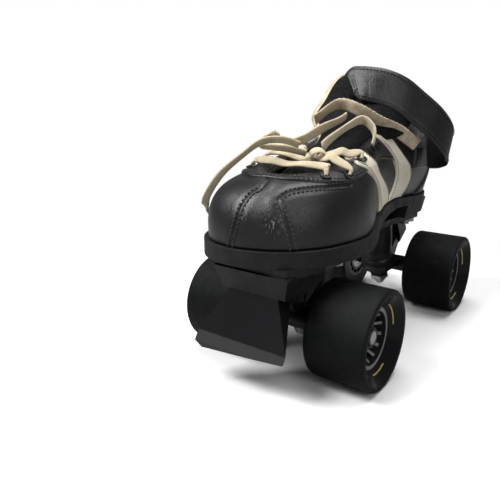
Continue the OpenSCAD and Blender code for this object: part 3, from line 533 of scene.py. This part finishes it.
def cotton(name, clean, soiled):
    look = Look(name, clean, 0.88, Sheen_Weight=0.25, Sheen_Roughness=0.5)
    base = look.ramp(look.noise(150, 5, 0.6), (0.3, tuple(0.82 * c for c in clean)), (0.65, clean))
    stain = look.ramp(look.noise(55, 6, 0.7), (0.50, 0.0), (0.74, 0.75))
    warp = look.waves(0.55, 0.65)
    weft = look.waves(0.55, -0.65)
    weave = look.math("MAXIMUM", warp, weft)
    shade = look.ramp(weave, (0.2, 0.75), (0.8, 1.0))
    mix = look.node("ShaderNodeMix", data_type="RGBA", blend_type="MULTIPLY")
    mix.inputs["Factor"].default_value = 0.5
    look.link(look.blend(stain, base, soiled), mix.inputs[6])
    look.link(shade, mix.inputs[7])
    look.color(mix.outputs[2])
    look.bump(weave, 0.5, 0.0004)
    look.bump(look.noise(1400, 5, 0.7), 0.35, 0.0003)
    return look.mat


def rubber_sole():
    look = Look("sole_rubber", (0.010, 0.010, 0.011), 0.58, Specular_IOR_Level=0.3)
    dust = look.ramp(look.noise(90, 6, 0.7), (0.45, (0.006, 0.006, 0.0065)), (0.8, (0.018, 0.018, 0.0185)))
    look.color(dust)
    look.rough(look.ramp(look.noise(120, 4), (0.3, 0.52), (0.7, 0.74)))
    look.bump(look.noise(1200, 4, 0.6), 0.18, 0.0004)
    look.bump(look.noise(60, 3), 0.10, 0.001)
    return look.mat


def nylon(name, color, rough):
    look = Look(name, color, rough, Specular_IOR_Level=0.28)
    dark, pale = (tuple(share * c for c in color) for share in (0.75, 1.3))
    look.color(look.ramp(look.noise(70, 5), (0.3, dark), (0.7, pale)))
    look.rough(look.ramp(look.noise(200, 4), (0.3, rough - 0.07), (0.7, rough + 0.1)))
    look.bump(look.noise(1600, 3, 0.5), 0.12, 0.0003)
    return look.mat


def hub_nylon():
    """Grey on the faces that look outwards; painted shade, near black, on the faces down in the openings."""
    look = Look("hub_nylon", (0.20, 0.20, 0.205), 0.42, Specular_IOR_Level=0.3)
    split = look.node("ShaderNodeSeparateXYZ")
    look.link(look.coords.outputs["Normal"], split.inputs[0])
    # painted shade: faces that do not look along the axle get a near-black colour in place of the grey nylon
    facing = look.ramp(look.math("ABSOLUTE", split.outputs["X"], 0.0), (0.35, 0.0), (0.62, 1.0))
    tone = look.ramp(look.noise(70, 5), (0.3, (0.17, 0.17, 0.175)), (0.7, (0.28, 0.28, 0.285)))
    look.color(look.blend(facing, (0.012, 0.012, 0.013), tone))
    look.rough(look.ramp(look.noise(200, 4), (0.3, 0.36), (0.7, 0.52)))
    look.bump(look.noise(1600, 3, 0.5), 0.12, 0.0003)
    return look.mat


def stop_rubber():
    """Glossy rubber, worn dull along the lower edge of the stop's tilted face."""
    tilt = math.radians(20)
    axis = (0, math.sin(tilt), math.cos(tilt))
    look = Look("stop_rubber", (0.007, 0.007, 0.008), 0.15)
    up = look.along(axis, (0, -0.1078, 0.0202))
    uneven = look.math("MULTIPLY", look.noise(160, 5), 0.12)
    worn = look.ramp(look.math("ADD", look.math("MULTIPLY", up, 60.0), uneven), (0.42, 1.0), (0.53, 0.0))
    look.color(look.blend(worn, (0.007, 0.007, 0.008), (0.030, 0.0295, 0.0285)))
    smooth = look.ramp(look.noise(45, 4), (0.3, 0.09), (0.75, 0.20))
    look.rough(look.blend(worn, smooth, (0.8, 0.8, 0.8)))
    look.bump(look.noise(500, 6, 0.7), 0.10, 0.0005)
    look.bump(look.noise(35, 2), 0.15, 0.002)
    return look.mat


def urethane(axle_y):
    """Black tyre: smooth dished side, dusty tread with fine crossed ribs."""
    end = "front" if axle_y < 0 else "rear"
    look = Look("urethane_" + end, (0.006, 0.006, 0.0065), 0.5, Specular_IOR_Level=0.10)
    out = look.away_from((0, axle_y * MM, WHEEL_R * MM), (0, 1, 1))
    tread = look.ramp(look.math("MULTIPLY", out, 30.0), (0.800, 0.0), (0.830, 1.0))
    tone = look.ramp(look.noise(110, 5, 0.65), (0.35, (0.0030, 0.0034, 0.0038)),
                     (0.75, (0.0062, 0.0068, 0.0072)))
    specks = look.ramp(look.noise(620, 3, 0.5), (0.70, 0.0), (0.76, 0.35))
    look.color(look.blend(tread, (0.009, 0.009, 0.0105), look.blend(specks, tone, (0.22, 0.21, 0.20))))
    look.rough(look.blend(tread, (0.17, 0.17, 0.17), look.ramp(look.noise(140, 5), (0.3, 0.44), (0.7, 0.60))))
    split = look.node("ShaderNodeSeparateXYZ")
    look.link(look.coords.outputs["Object"], split.inputs[0])
    turn = look.math("ARCTAN2", look.math("SUBTRACT", split.outputs["Z"], WHEEL_R * MM),
                     look.math("SUBTRACT", split.outputs["Y"], axle_y * MM))
    ribs = look.math("SINE", look.math("MULTIPLY", turn, 130.0), 0.0)
    rows = look.math("SINE", look.math("MULTIPLY", split.outputs["X"], 4200.0), 0.0)
    look.bump(look.math("MULTIPLY", look.math("MULTIPLY", ribs, rows), tread), 0.35, 0.0003)
    look.bump(look.noise(90, 6, 0.7), 0.12, 0.0008)
    return look.mat


def steel(name, color, rough):
    look = Look(name, color, rough, 1.0)
    look.color(look.ramp(look.noise(160, 5), (0.3, tuple(0.75 * c for c in color)), (0.7, color)))
    look.rough(look.ramp(look.noise(600, 4, 0.6), (0.3, rough - 0.08), (0.7, rough + 0.14)))
    look.bump(look.noise(900, 4), 0.06, 0.0003)
    return look.mat


def coated_metal():
    look = Look("black_coated_metal", (0.012, 0.012, 0.013), 0.36, 0.2)
    look.color(look.ramp(look.noise(120, 6, 0.7), (0.55, (0.010, 0.010, 0.011)), (0.9, (0.07, 0.07, 0.07))))
    look.rough(look.ramp(look.noise(300, 4), (0.3, 0.30), (0.7, 0.48)))
    look.bump(look.noise(1100, 4, 0.6), 0.15, 0.0003)
    return look.mat


def thread(name, color):
    look = Look(name, color, 0.7, Sheen_Weight=0.2)
    look.color(look.ramp(look.noise(900, 3), (0.3, tuple(0.6 * c for c in color)), (0.7, color)))
    look.bump(look.noise(2600, 2), 0.3, 0.0002)
    return look.mat


def plain(name, color, rough, scale):
    look = Look(name, color, rough, Specular_IOR_Level=0.3)
    look.color(look.ramp(look.noise(scale, 5), (0.3, tuple(0.7 * c for c in color)), (0.7, color)))
    look.bump(look.noise(scale * 6, 5), 0.25, 0.0004)
    return look.mat


VINYL = black_vinyl()
CREAM = cream_vinyl()
LINING = lining()
MESH = tongue_mesh()
FELT = felt("cream_felt", (0.36, 0.28, 0.18), (0.66, 0.56, 0.40), (0.24, 0.17, 0.10))
LACE = cotton("lace_cotton", (0.61, 0.52, 0.355), (0.31, 0.22, 0.13))
FRAYED = felt("frayed_cotton", (0.36, 0.28, 0.19), (0.62, 0.53, 0.39), (0.22, 0.16, 0.10))
WORN_LACE = cotton("worn_lace_cotton", (0.56, 0.46, 0.31), (0.28, 0.20, 0.11))
SOLE = rubber_sole()
PLATE_NYLON = nylon("plate_nylon", (0.007, 0.007, 0.0075), 0.42)
HUB_NYLON = hub_nylon()
STOP = stop_rubber()
CUSHION = nylon("cushion_rubber", (0.012, 0.012, 0.013), 0.5)
STEEL = steel("zinc_steel", (0.62, 0.63, 0.64), 0.34)
COATED = coated_metal()
BLACK_THREAD = thread("black_thread", (0.010, 0.010, 0.011))
CREAM_THREAD = thread("cream_thread", (0.17, 0.125, 0.08))
CUT_EDGE = plain("cut_edge", (0.028, 0.028, 0.030), 0.6, 300)
PILE = plain("loop_pile", (0.007, 0.007, 0.008), 1.0, 900)
BOARD = plain("fibre_board", (0.42, 0.35, 0.25), 0.85, 200)
PRINT = plain("yellow_print", (0.62, 0.50, 0.14), 0.45, 400)
FRONT_URETHANE = urethane(FRONT_AXLE_Y)
REAR_URETHANE = urethane(REAR_AXLE_Y)


def dress_nodes():
    """Better materials for the CAD nodes that stay."""
    looks = {
        "outsole": SOLE, "heel_block": SOLE, "insole_board": BOARD, "plate": PLATE_NYLON, "toe_stop": STOP,
        "eyelets": COATED, "mount_bolts": STEEL, "mount_nuts": STEEL, "toe_stop_bolt": STEEL}
    for end in ("front", "rear"):
        looks[end + "_cushion_upper"] = looks[end + "_cushion_lower"] = CUSHION
        looks[end + "_pivot_cup"] = PLATE_NYLON
        looks[end + "_hanger"] = looks[end + "_cups"] = COATED
        for kind in ("kingpin", "kingpin_nut", "axle", "spacers", "inner_races"):
            looks[end + "_" + kind] = STEEL
        looks[end + "_axle_nuts"] = COATED
        for side in ("left", "right"):
            wheel = end + "_" + side
            looks[wheel + "_tyre"] = FRONT_URETHANE if end == "front" else REAR_URETHANE
            looks[wheel + "_hub"] = HUB_NYLON
            looks[wheel + "_bearings"] = STEEL
    for name, look in looks.items():
        mesh = nodes[name].data
        if not mesh.materials:
            mesh.materials.append(look)
        for k in range(len(mesh.materials)):
            mesh.materials[k] = look


# ---------------------------------------------------------------- boot

# seams as (u, v) on the boot, and how the vinyl sinks at them and swells beside them, mm
TOE_SEAM_INNER = [
    (-0.3, 0.0), (0.0, 0.12), (0.2, 0.25), (0.3, 0.40), (0.6, 0.55), (1.2, 0.66), (0.8, 0.80), (0.0, 0.92)]
TOE_SEAM_OUTER = [(7.0, 0.0), (6.5, 0.14), (5.6, 0.31), (4.4, 0.48)]
VAMP_SEAM = [(4.4, 0.49), (5.7, 0.585), (8.2, 0.61), (10.4, 0.58), (12.3, 0.54), (13.8, 0.51)]
SEAMS = [TOE_SEAM_INNER, TOE_SEAM_OUTER, VAMP_SEAM]
GROOVE_DEPTH, GROOVE_HALF = 0.8, 0.75
PUFF_HEIGHT, PUFF_AT, PUFF_HALF = 0.22, 4.5, 2.6


def boot():
    """The upper as one closed shell: vinyl face with its seams, rolled top edge, lining."""
    count, rows = 576, 90
    u = np.linspace(0, STATIONS, count, endpoint=False)
    v = np.linspace(0, 1, rows)
    uu, vv = np.meshgrid(u, v, indexing="ij")
    outer = upper(uu, vv)
    normal = outward(uu, vv)
    tree_points = np.concatenate([surface_line(s, 260, 0.0)[0] for s in SEAMS])
    tree = KDTree(len(tree_points))
    for k, p in enumerate(tree_points):
        tree.insert(p, k)
    tree.balance()
    dist = np.array([tree.find(p)[2] for p in outer.reshape(-1, 3)]).reshape(count, rows)
    puff = PUFF_HEIGHT * np.exp(-((dist - PUFF_AT) / PUFF_HALF) ** 2)
    groove = -GROOVE_DEPTH * np.exp(-(dist / GROOVE_HALF) ** 2)
    fade = np.clip(vv / 0.04, 0, 1)
    outer = outer + normal * ((puff + groove) * fade)[..., None]
    lip = outer[:, -1:] - normal[:, -1:] * (UPPER_T / 2) + np.array([0, 0, 0.9])
    inner_v = np.array([1.0, 0.97, 0.92, 0.85, 0.75, 0.62, 0.48, 0.34, 0.2, 0.06])
    iu, iv = np.meshgrid(u, inner_v, indexing="ij")
    inner = off_upper(iu, iv, -UPPER_T)
    points = np.concatenate([outer, lip, inner], 1)
    m = points.shape[1]
    faces = grid_faces(count, m, wrap_n=True, wrap_m=True)
    inside = [1 if k % m >= rows + 1 else 0 for k in range(len(faces))]
    piece = add_piece("boot_shell", points, faces, [VINYL, LINING], "boot", face_mats=inside)
    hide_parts("boot_upper")
    for k, seam in enumerate(SEAMS):
        line, normals = surface_line(seam, 300, 0.35)
        for j, side in enumerate((-1.7, 1.7)):
            stitch_row("seam_%d_%d" % (k, j), beside(line, normals, side), normals, BLACK_THREAD)


# middle line of each stripe as (v, u), and half its width in stations
STRIPE_LINES = [
    [(0, 22.2), (0.1, 22.1), (0.22, 21.4), (0.37, 19.7), (0.5, 18.1), (0.7, 16.3), (1, 15.1)],
    [(0, 24.4), (0.2, 24.9), (0.4, 24.9), (0.6, 24.0), (0.8, 22.1), (1, 20.6)]]
STRIPE_HALF = 1.1
STITCH_INSET = 2.0


def smooth_lookup(table, v):
    """Value at v from a table of (v, value) rows, its corners evened out."""
    fine = np.linspace(0, 1, 200)
    return np.interp(v, fine, smoothed(np.interp(fine, *np.array(table, float).T), 41))


def stripes():
    """Two cream stripes on each side; above the middle they lie over the eyestay."""
    v = np.linspace(0.005, 0.985, 80)
    s = 0.5 - 0.5 * np.cos(np.pi * np.linspace(0, 1, 26))
    lift = np.interp(v, [0.42, 0.56], [SEAT, 2 * SEAT + OVERLAY_T])
    for k, table in enumerate(STRIPE_LINES):
        for side in (1, -1):
            middle = smooth_lookup(table, v)
            low, high = middle - STRIPE_HALF, middle + STRIPE_HALF
            if side < 0:
                low, high = STATIONS - high, STATIONS - low
            uu = low[None] + (high - low)[None] * s[:, None]
            vv = np.broadcast_to(v[None], uu.shape)
            tag = "stripe_%d_%s" % (k, "outer" if side > 0 else "inner")
            piece = panel(tag, uu, vv, lift, OVERLAY_T, CREAM)
            if k == 0 and side > 0:
                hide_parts("side_stripes")
            width = np.linalg.norm(upper(high, v) - upper(low, v), axis=1)
            for j, inset in enumerate((STITCH_INSET / width, 1 - STITCH_INSET / width)):
                u_line = low + (high - low) * inset
                line = off_upper(u_line, v, lift + OVERLAY_T + 0.02)
                stitch_row("%s_stitch_%d" % (tag, j), line[3:-3], outward(u_line, v)[3:-3], CREAM_THREAD, 2.2,
                           (1.0, 0.36, 0.24))


EYESTAY_LOW = [(0, 0.88), (6, 0.80), (10, 0.65), (13, 0.54), (16, 0.52), (23, 0.55)]


def eyestay():
    u = np.linspace(-23, 23, 240)
    low = smoothed(np.interp(np.abs(u), *np.array(EYESTAY_LOW, float).T), 25)
    s = np.linspace(0, 1, 22)
    vv = low[:, None] + (0.985 - low)[:, None] * s[None]
    uu = np.broadcast_to(u[:, None], vv.shape)
    piece = panel("eyestay", uu + STATIONS, vv, SEAT, OVERLAY_T, VINYL)
    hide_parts("eyestays")
    for k, rise in enumerate((0.025, 0.065)):
        line = off_upper(u + STATIONS, low + rise, SEAT + OVERLAY_T + THREAD_LIFT)
        stitch_row("eyestay_stitch_%d" % k, line, outward(u + STATIONS, low + rise), BLACK_THREAD)


def counter():
    v = np.linspace(0.005, 0.82, 50)
    low = 27.7 + 6 * v
    s = np.linspace(0, 1, 140)
    uu = low[None] + (STATIONS - 2 * low)[None] * s[:, None]
    vv = np.broadcast_to(v[None], uu.shape)
    piece = panel("heel_counter_panel", uu, vv, SEAT, OVERLAY_T, VINYL)
    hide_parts("heel_counter")
    for k, edge in enumerate((low + 0.45, STATIONS - low - 0.45)):
        line = off_upper(edge, v, SEAT + OVERLAY_T + THREAD_LIFT)
        stitch_row("counter_stitch_%d" % k, line[2:-2], outward(edge, v)[2:-2], BLACK_THREAD)


def collar():
    """Padded roll inside the top edge, thinner towards its two ends."""
    n, sides = 150, 20
    u = np.linspace(21, STATIONS - 21, n)
    v = 0.97
    radius = 3.4 * np.clip(np.minimum(np.arange(n), np.arange(n - 1, -1, -1)) / 10, 0.35, 1)
    centre = off_upper(u, v, -(UPPER_T + radius + 2 * SEAT))
    a = upper(u, v) - centre
    a /= np.linalg.norm(a, axis=1, keepdims=True)
    turn = 2 * np.pi * np.arange(sides) / sides
    points = (centre[:, None] + (radius[:, None] * np.cos(turn))[..., None] * a[:, None]
              + np.array([0, 0, 1.3]) * (radius[:, None] * np.sin(turn))[..., None])
    piece = add_piece("collar_roll", points, tube_faces(n, sides), [LINING], "boot")
    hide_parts("collar_pad")


def tongue():
    """Padded tongue: dark mesh face, cream felt on its back, its inner edge and its top."""
    n, across = 130, 56
    f = np.linspace(0, 1, n)
    free = np.interp(f, [0.62, 0.8], [0, 1])
    route = open_line([(0, y, z) for y, z in TONGUE_ROUTE[:-1] + [TONGUE_TIP]], n)[:, 1:]
    route[:, 1] += TONGUE_RISE * np.interp(f, [0.25, 0.55], [1, 0])
    t = np.gradient(route, axis=0)
    t /= np.linalg.norm(t, axis=1, keepdims=True)
    o = np.stack([-t[:, 1], t[:, 0]], -1)
    tucked = np.interp(f, *np.array(TONGUE_HALVES).T) + TONGUE_TUCK * (1 - free)
    outer_half = smoothed(tucked + 9 * free, 19)
    inner_half = smoothed(tucked + np.interp(f, *np.array(TONGUE_FLARE).T), 19)
    corner = np.sqrt(1 - np.clip((f - 0.93) / 0.07, 0, 1) ** 2 * 0.6)
    thick = TONGUE_T * np.interp(f, [0, 0.3, 0.9, 1], [0.45, 0.7, 1, 0.45])
    x = np.sin(np.linspace(-1, 1, across) * np.pi / 2)
    left = x < 0
    bow = np.where(left[None], TONGUE_BOW * (1 - TONGUE_FLAT * free[:, None]), TONGUE_BOW) * x[None] ** 2
    wrap = 13 * free[:, None] * np.clip((x - 0.45) / 0.55, 0, 1)[None] ** 2
    roll = 1.1 * np.exp(-((np.abs(x) - 0.93) / 0.06) ** 2)[None] * free[:, None]
    ripple = 0.35 * np.sin(f * 42)[:, None] * (1 - x ** 2)[None]
    edge = np.sqrt(1 - 0.97 * x ** 6)
    back = -bow - wrap - thick[:, None] * 0.5 * edge[None]
    front = -bow - wrap + thick[:, None] * 0.45 * edge[None] + ripple + roll
    depth = np.concatenate([front, back[:, ::-1]], 1)
    side = np.concatenate([x, x[::-1]])[None] * np.ones((n, 1))
    half = np.where(side < 0, (inner_half * corner)[:, None], (outer_half * corner)[:, None])
    points = np.stack([half * side, route[:, :1] + o[:, :1] * depth,
                       route[:, 1:] + o[:, 1:] * depth + PLATE_Z], -1)
    m = 2 * across
    faces = turned(tube_faces(n, m))
    mesh_from = np.argmax(x > -0.85)
    soft = [0 if mesh_from <= k % m < across + 4 and k // m < n - 6 else 1 for k in range(n * m - m)]
    soft += [1, 1]
    piece = add_piece("tongue_pad", points, faces, [MESH, FELT], "boot", face_mats=soft)
    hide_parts("tongue")


def strap():
    """The open strap: vinyl outside, loop pile inside, its end rounded and cut at a slant."""
    n, sides = 160, 20
    line = open_line(STRAP_ROUTE, n) + ON_PLATE
    s = lengths(line)
    left = s[-1] - s
    corner = 9.0
    half = np.full(n, STRAP_W / 2)
    tip = left < corner
    half[tip] -= corner - np.sqrt(np.maximum(corner ** 2 - (corner - left[tip]) ** 2, 0))
    a = 2 * np.pi * (np.arange(sides) + 0.5) / sides
    mats = []
    for k in range((n - 1) * sides):
        turn = a[k % sides] + np.pi / sides
        if abs(math.cos(turn)) > 0.93:
            mats.append(2)
        else:
            mats.append(1 if math.sin(turn) > 0 else 0)
    mats += [2, 2]
    slant = STRAP_SLANT * np.clip((SLANT_OVER - left) / SLANT_OVER, 0, 1)
    piece = band("strap_band", line, STRAP_W, STRAP_T, STRAP_LEAN, [VINYL, PILE, CUT_EDGE], "strap",
                 sides, mats, half, slant=slant)
    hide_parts("strap")
    t, w, o = band_frame(line, STRAP_LEAN)
    inset = 3.0
    last = np.argmin(np.abs(left - inset))
    upper_row = (line + w * (half - inset)[:, None])[10:last]
    lower_row = (line - w * (half - inset)[:, None] - t * slant[:, None])[10:last]
    end_row = np.linspace(upper_row[-1], lower_row[-1], 40)[1:-1]
    border = np.concatenate([upper_row, end_row, lower_row[::-1]])
    face = np.concatenate([-o[10:last], np.repeat(-o[last:last + 1], 38, 0), -o[10:last][::-1]])
    stitch_row("strap_border", border + face * (STRAP_T / 2 + THREAD_LIFT), face, BLACK_THREAD, 2.6,
               (1.0, 0.42, 0.34), "strap")
    behind = (0.8, 3.4, -0.8)
    patch = open_line([np.array(p) + behind for p in STRAP_ROUTE[7:10]], 40) + ON_PLATE
    hook = band("hook_patch", patch, STRAP_W - 7, 1.6, STRAP_LEAN, [PILE], "strap")
    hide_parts("strap_hook_patch")


def strap_root():
    """The tab that holds the strap's sewn end."""
    v = np.linspace(0.52, 0.92, 30)
    u = np.linspace(25.8, 28.6, 24)
    uu, vv = np.meshgrid(u, v, indexing="ij")
    piece = panel("strap_root", uu, vv, SEAT, ROOT_T, VINYL)
    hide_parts("strap_tab")
    for k, edge in enumerate((26.15, 28.25)):
        line = off_upper(edge, v, SEAT + ROOT_T + THREAD_LIFT)
        stitch_row("root_stitch_%d" % k, line[1:-1], outward(edge, v)[1:-1], BLACK_THREAD)


# ---------------------------------------------------------------- laces


def lace(name, route, count, lean=LACE_LEAN, material=None, width=LACE_W, pinch=(False, False),
         ragged=0.0):
    """A flat woven lace; a pinched end is gathered where it passes an eyelet, ragged edges are worn."""
    line = open_line(route, count) + ON_PLATE
    s = lengths(line)
    half = np.full(count, width / 2)
    if pinch[0]:
        half *= np.interp(s, [0, 2, 8], [0.42, 0.45, 1])
    if pinch[1]:
        half *= np.interp(s[-1] - s, [0, 2, 8], [0.42, 0.45, 1])
    half *= 1 + ragged * (np.sin(2.1 * s) + 0.8 * np.sin(3.7 * s + 1) + 0.7 * np.sin(5.3 * s + 2))
    twist = 0.22 * np.sin(s / 8.5 + len(name))
    piece = band(name, line, width, LACE_T, lean, [material or LACE], "boot", 16,
                 half_widths=half, twist=twist)
    return piece, line


def free_lace(name, node, route, count, material=None, width=LACE_W, ragged=0.0):
    """A free stretch of lace, in place of a node of the part, which is hidden."""
    piece, line = lace(name, route, count, material=material, width=width, ragged=ragged)
    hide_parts(node)


def over_boot(u, v, lift):
    """Point over the boot's face, its height taken from the plate."""
    return off_upper(u, v, lift) - ON_PLATE


def lace_from(u, spot):
    """First points of a lace coming up out of an eyelet and over the edge of the throat."""
    v, lift = spot[1:]
    return [over_boot(u, v, lift + 0.3), over_boot(u, v + 0.05, lift + 2.6)]


def crossing_laces():
    """The lowest lace lies across the throat; the next two run in to both sides of the knot."""
    lean = (0, 0.8, 0.6)
    u = FIRST_BAR[0] * AROUND
    low, high = EYESTAY_TOP + 2.6, STRIPE_TOP + 2.6
    a, b = over_boot(u, BAR_V, low), over_boot(STATIONS - u, BAR_V, low)
    middle = (a + b) / 2 + (0, -6, 0)
    middle[2] = max(middle[2], np.interp(middle[1], *np.array(TONGUE_ROUTE).T) + 6)
    bulge = np.array([0, -2, 1])
    route = (lace_from(u, FIRST_BAR) + [a, (a + middle) / 2 + bulge, middle, (b + middle) / 2 + bulge, b]
             + lace_from(STATIONS - u, FIRST_BAR)[::-1])
    piece, _ = lace("lace_across", route, 110, lean, width=GATHERED_W, pinch=(True, True))
    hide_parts("lace_bars")
    for row, (spot, outer, inner) in enumerate(KNOT_BARS):
        for side, end in (("outer", outer), ("inner", inner)):
            sign = 1 if side == "outer" else -1
            u = sign * spot[0] * AROUND % STATIONS
            a = over_boot(u - sign * LEAN_IN, BAR_V, high)
            end = np.array(end, float)
            into = end + 0.7 * (np.array(KNOT_PLACE) - (0, 0, 2) - end)
            route = lace_from(u, spot) + [a, (a + end) / 2 + (0, 0, 1.5), end, into]
            lace("lace_in_%d_%s" % (row, side), route, 70, lean, width=GATHERED_W, pinch=(True, False))


def laces():
    """The slack bow: five free stretches, the crossing laces and three turns of the knot."""
    free_lace("lace_bow_loop", "lace_loop", LOOP_ROUTE, 90, width=FOLDED_W)
    free_lace("lace_bow_curl", "lace_curl", CURL_ROUTE, 80, width=FOLDED_W)
    free_lace("lace_bow_arch", "lace_arch", ARCH_ROUTE, 90)
    free_lace("lace_bow_strand", "lace_strand", STRAND_ROUTE, 60, WORN_LACE)
    free_lace("lace_free_end", "lace_tail", TAIL_ROUTE, 240, FRAYED, FRAYED_W, 0.035)
    crossing_laces()
    centre = np.array(KNOT_PLACE) + ON_PLATE
    turn = np.linspace(0, 2 * np.pi, 40)
    for k, (a, b) in enumerate(KNOT_TURNS):
        a = np.array(a) / np.linalg.norm(a)
        b = np.array(b) - np.dot(b, a) * a
        b /= np.linalg.norm(b)
        r = 3.0 + 0.6 * k
        ring = centre + r * (np.cos(turn)[:, None] * a + 0.85 * np.sin(turn)[:, None] * b)
        piece = band("knot_turn_%d" % k, ring, GATHERED_W, LACE_T, np.cross(a, b) + 0.2 * a, [LACE], "boot",
                     14)
        if k == 0:
            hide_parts("lace_knot")


# ---------------------------------------------------------------- wheels


def wheel_print():
    """Plain thin arcs printed on each wheel's dished outer face."""
    low, high, sunk, proud = 21.6, 22.2, -0.15, 0.07
    section = [(low, proud), (high, proud), (high, sunk), (low, sunk)]
    steps = 30
    for end, axle_y in (("front", FRONT_AXLE_Y), ("rear", REAR_AXLE_Y)):
        for side, sign in (("left", 1), ("right", -1)):
            points, faces = [], []
            for start, stop in ((5, 56), (-102, -64)):
                first = len(points)
                for q in np.radians(np.linspace(start, stop, steps)):
                    for r, lift in section:
                        x = HUB_HALF + (r - HUB_R) / (DISH_R - HUB_R) * (WHEEL_HALF - HUB_HALF) + lift
                        points.append((sign * (HALF_TRACK + x), axle_y + r * math.cos(q),
                                       WHEEL_R + r * math.sin(q)))
                strip = tube_faces(steps, 4) if sign < 0 else turned(tube_faces(steps, 4))
                faces += [tuple(first + c for c in f) for f in strip]
            wheel = "%s_%s" % (end, side)
            add_piece("arc_" + wheel, np.array(points), faces, [PRINT], wheel + "_wheel")


# ---------------------------------------------------------------- stage

# the camera fitted to the four wheels: lengths in pixels of a picture of PHOTO_PX each way
PHOTO_PX = 500
FOCAL_PX = 510.26
SHIFT_PX = (-31.27, -18.93)
SENSOR = 36.0
# how much of the white background is mirrored, the world's light on the skate, the floor in metres
GLOSSY_SHARE = 0.10
WORLD_LIGHT = 0.09
FLOOR_HALF = 6


def camera():
    place = Vector((0.1690, -0.3296, 0.1647))
    yaw, pitch, roll = -0.598, -0.242, 0.013
    ahead = Vector((math.cos(pitch) * math.sin(yaw), math.cos(pitch) * math.cos(yaw), math.sin(pitch)))
    right = ahead.cross(Vector((0, 0, 1))).normalized()
    up = right.cross(ahead)
    r = right * math.cos(roll) + up * math.sin(roll)
    u = -right * math.sin(roll) + up * math.cos(roll)
    data = bpy.data.cameras.new("camera")
    data.sensor_width = SENSOR
    data.lens = FOCAL_PX / PHOTO_PX * SENSOR
    data.shift_x, data.shift_y = (shift / PHOTO_PX for shift in SHIFT_PX)
    data.clip_start = 0.01
    cam = bpy.data.objects.new("camera", data)
    cam.matrix_world = Matrix(((r.x, u.x, -ahead.x, place.x), (r.y, u.y, -ahead.y, place.y),
                               (r.z, u.z, -ahead.z, place.z), (0, 0, 0, 1)))
    bpy.context.scene.collection.objects.link(cam)
    bpy.context.scene.camera = cam


def lamp(name, place, target, size, power):
    data = bpy.data.lights.new(name, "AREA")
    data.shape = "RECTANGLE"
    data.size, data.size_y = size
    data.energy = power
    lamp_object = bpy.data.objects.new(name, data)
    lamp_object.location = place
    lamp_object.rotation_euler = (Vector(target) - Vector(place)).to_track_quat("-Z", "Y").to_euler()
    bpy.context.scene.collection.objects.link(lamp_object)


def seen_directly(tree):
    """1 for rays from the camera or through clear matter, a small share for mirrored ones, else 0."""
    path = tree.nodes.new("ShaderNodeLightPath")
    total = path.outputs["Is Camera Ray"]
    for kind, share in (("Is Glossy Ray", GLOSSY_SHARE), ("Is Transmission Ray", 1.0)):
        more = tree.nodes.new("ShaderNodeMath")
        more.operation = "MULTIPLY_ADD"
        more.inputs[1].default_value = share
        tree.links.new(path.outputs[kind], more.inputs[0])
        tree.links.new(total, more.inputs[2])
        total = more.outputs[0]
    return total


def floor_look():
    """Pale floor: takes the shadow near the skate and turns into plain white further out."""
    look = Look("pale_floor", (0.9, 0.9, 0.9), 0.7)
    seen = seen_directly(look.tree)
    look.color(look.blend(seen, (0.28, 0.28, 0.28), (0.96, 0.96, 0.96)))
    far = look.ramp(look.math("MULTIPLY", look.away_from((0, 0, 0)), 1.6), (0.22, 0.0), (0.50, 1.0))
    white = look.node("ShaderNodeEmission")
    white.inputs["Strength"].default_value = 1.0
    mix = look.node("ShaderNodeMixShader")
    look.link(look.math("MULTIPLY", far, seen), mix.inputs[0])
    look.link(look.bsdf.outputs[0], mix.inputs[1])
    look.link(white.outputs[0], mix.inputs[2])
    look.link(mix.outputs[0], look.tree.nodes["Material Output"].inputs["Surface"])
    return look.mat


def stage():
    """Floor, a world that lights the skate softly but is seen as white, and three lamps."""
    mesh = bpy.data.meshes.new("floor")
    corners = [(x * FLOOR_HALF, y * FLOOR_HALF, 0) for x, y in ((-1, -1), (1, -1), (1, 1), (-1, 1))]
    mesh.from_pydata(corners, [], [(0, 1, 2, 3)])
    floor = bpy.data.objects.new("floor", mesh)
    bpy.context.scene.collection.objects.link(floor)
    mesh.materials.append(floor_look())
    world = bpy.data.worlds.new("studio")
    bpy.context.scene.world = world
    world.use_nodes = True
    tree = world.node_tree
    back = tree.nodes["Background"]
    back.inputs["Color"].default_value = (1, 1, 1, 1)
    back.inputs["Strength"].default_value = WORLD_LIGHT
    seen = tree.nodes.new("ShaderNodeBackground")
    seen.inputs["Color"].default_value = (1, 1, 1, 1)
    seen.inputs["Strength"].default_value = 1.0
    mix = tree.nodes.new("ShaderNodeMixShader")
    tree.links.new(seen_directly(tree), mix.inputs[0])
    tree.links.new(back.outputs[0], mix.inputs[1])
    tree.links.new(seen.outputs[0], mix.inputs[2])
    tree.links.new(mix.outputs[0], tree.nodes["World Output"].inputs["Surface"])
    lamp("key", (-0.55, -0.75, 1.15), (0, -0.03, 0.10), (0.7, 0.45), 24)
    lamp("fill", (0.95, -0.55, 0.75), (0, 0, 0.10), (0.6, 0.6), 4)
    lamp("top", (0.05, 0.15, 1.35), (0, 0, 0.10), (1.0, 0.8), 17)
    bpy.context.scene.view_settings.view_transform = "Standard"


camera()
laces()
dress_nodes()
boot()
stripes()
eyestay()
counter()
collar()
tongue()
strap()
strap_root()
wheel_print()
stage()
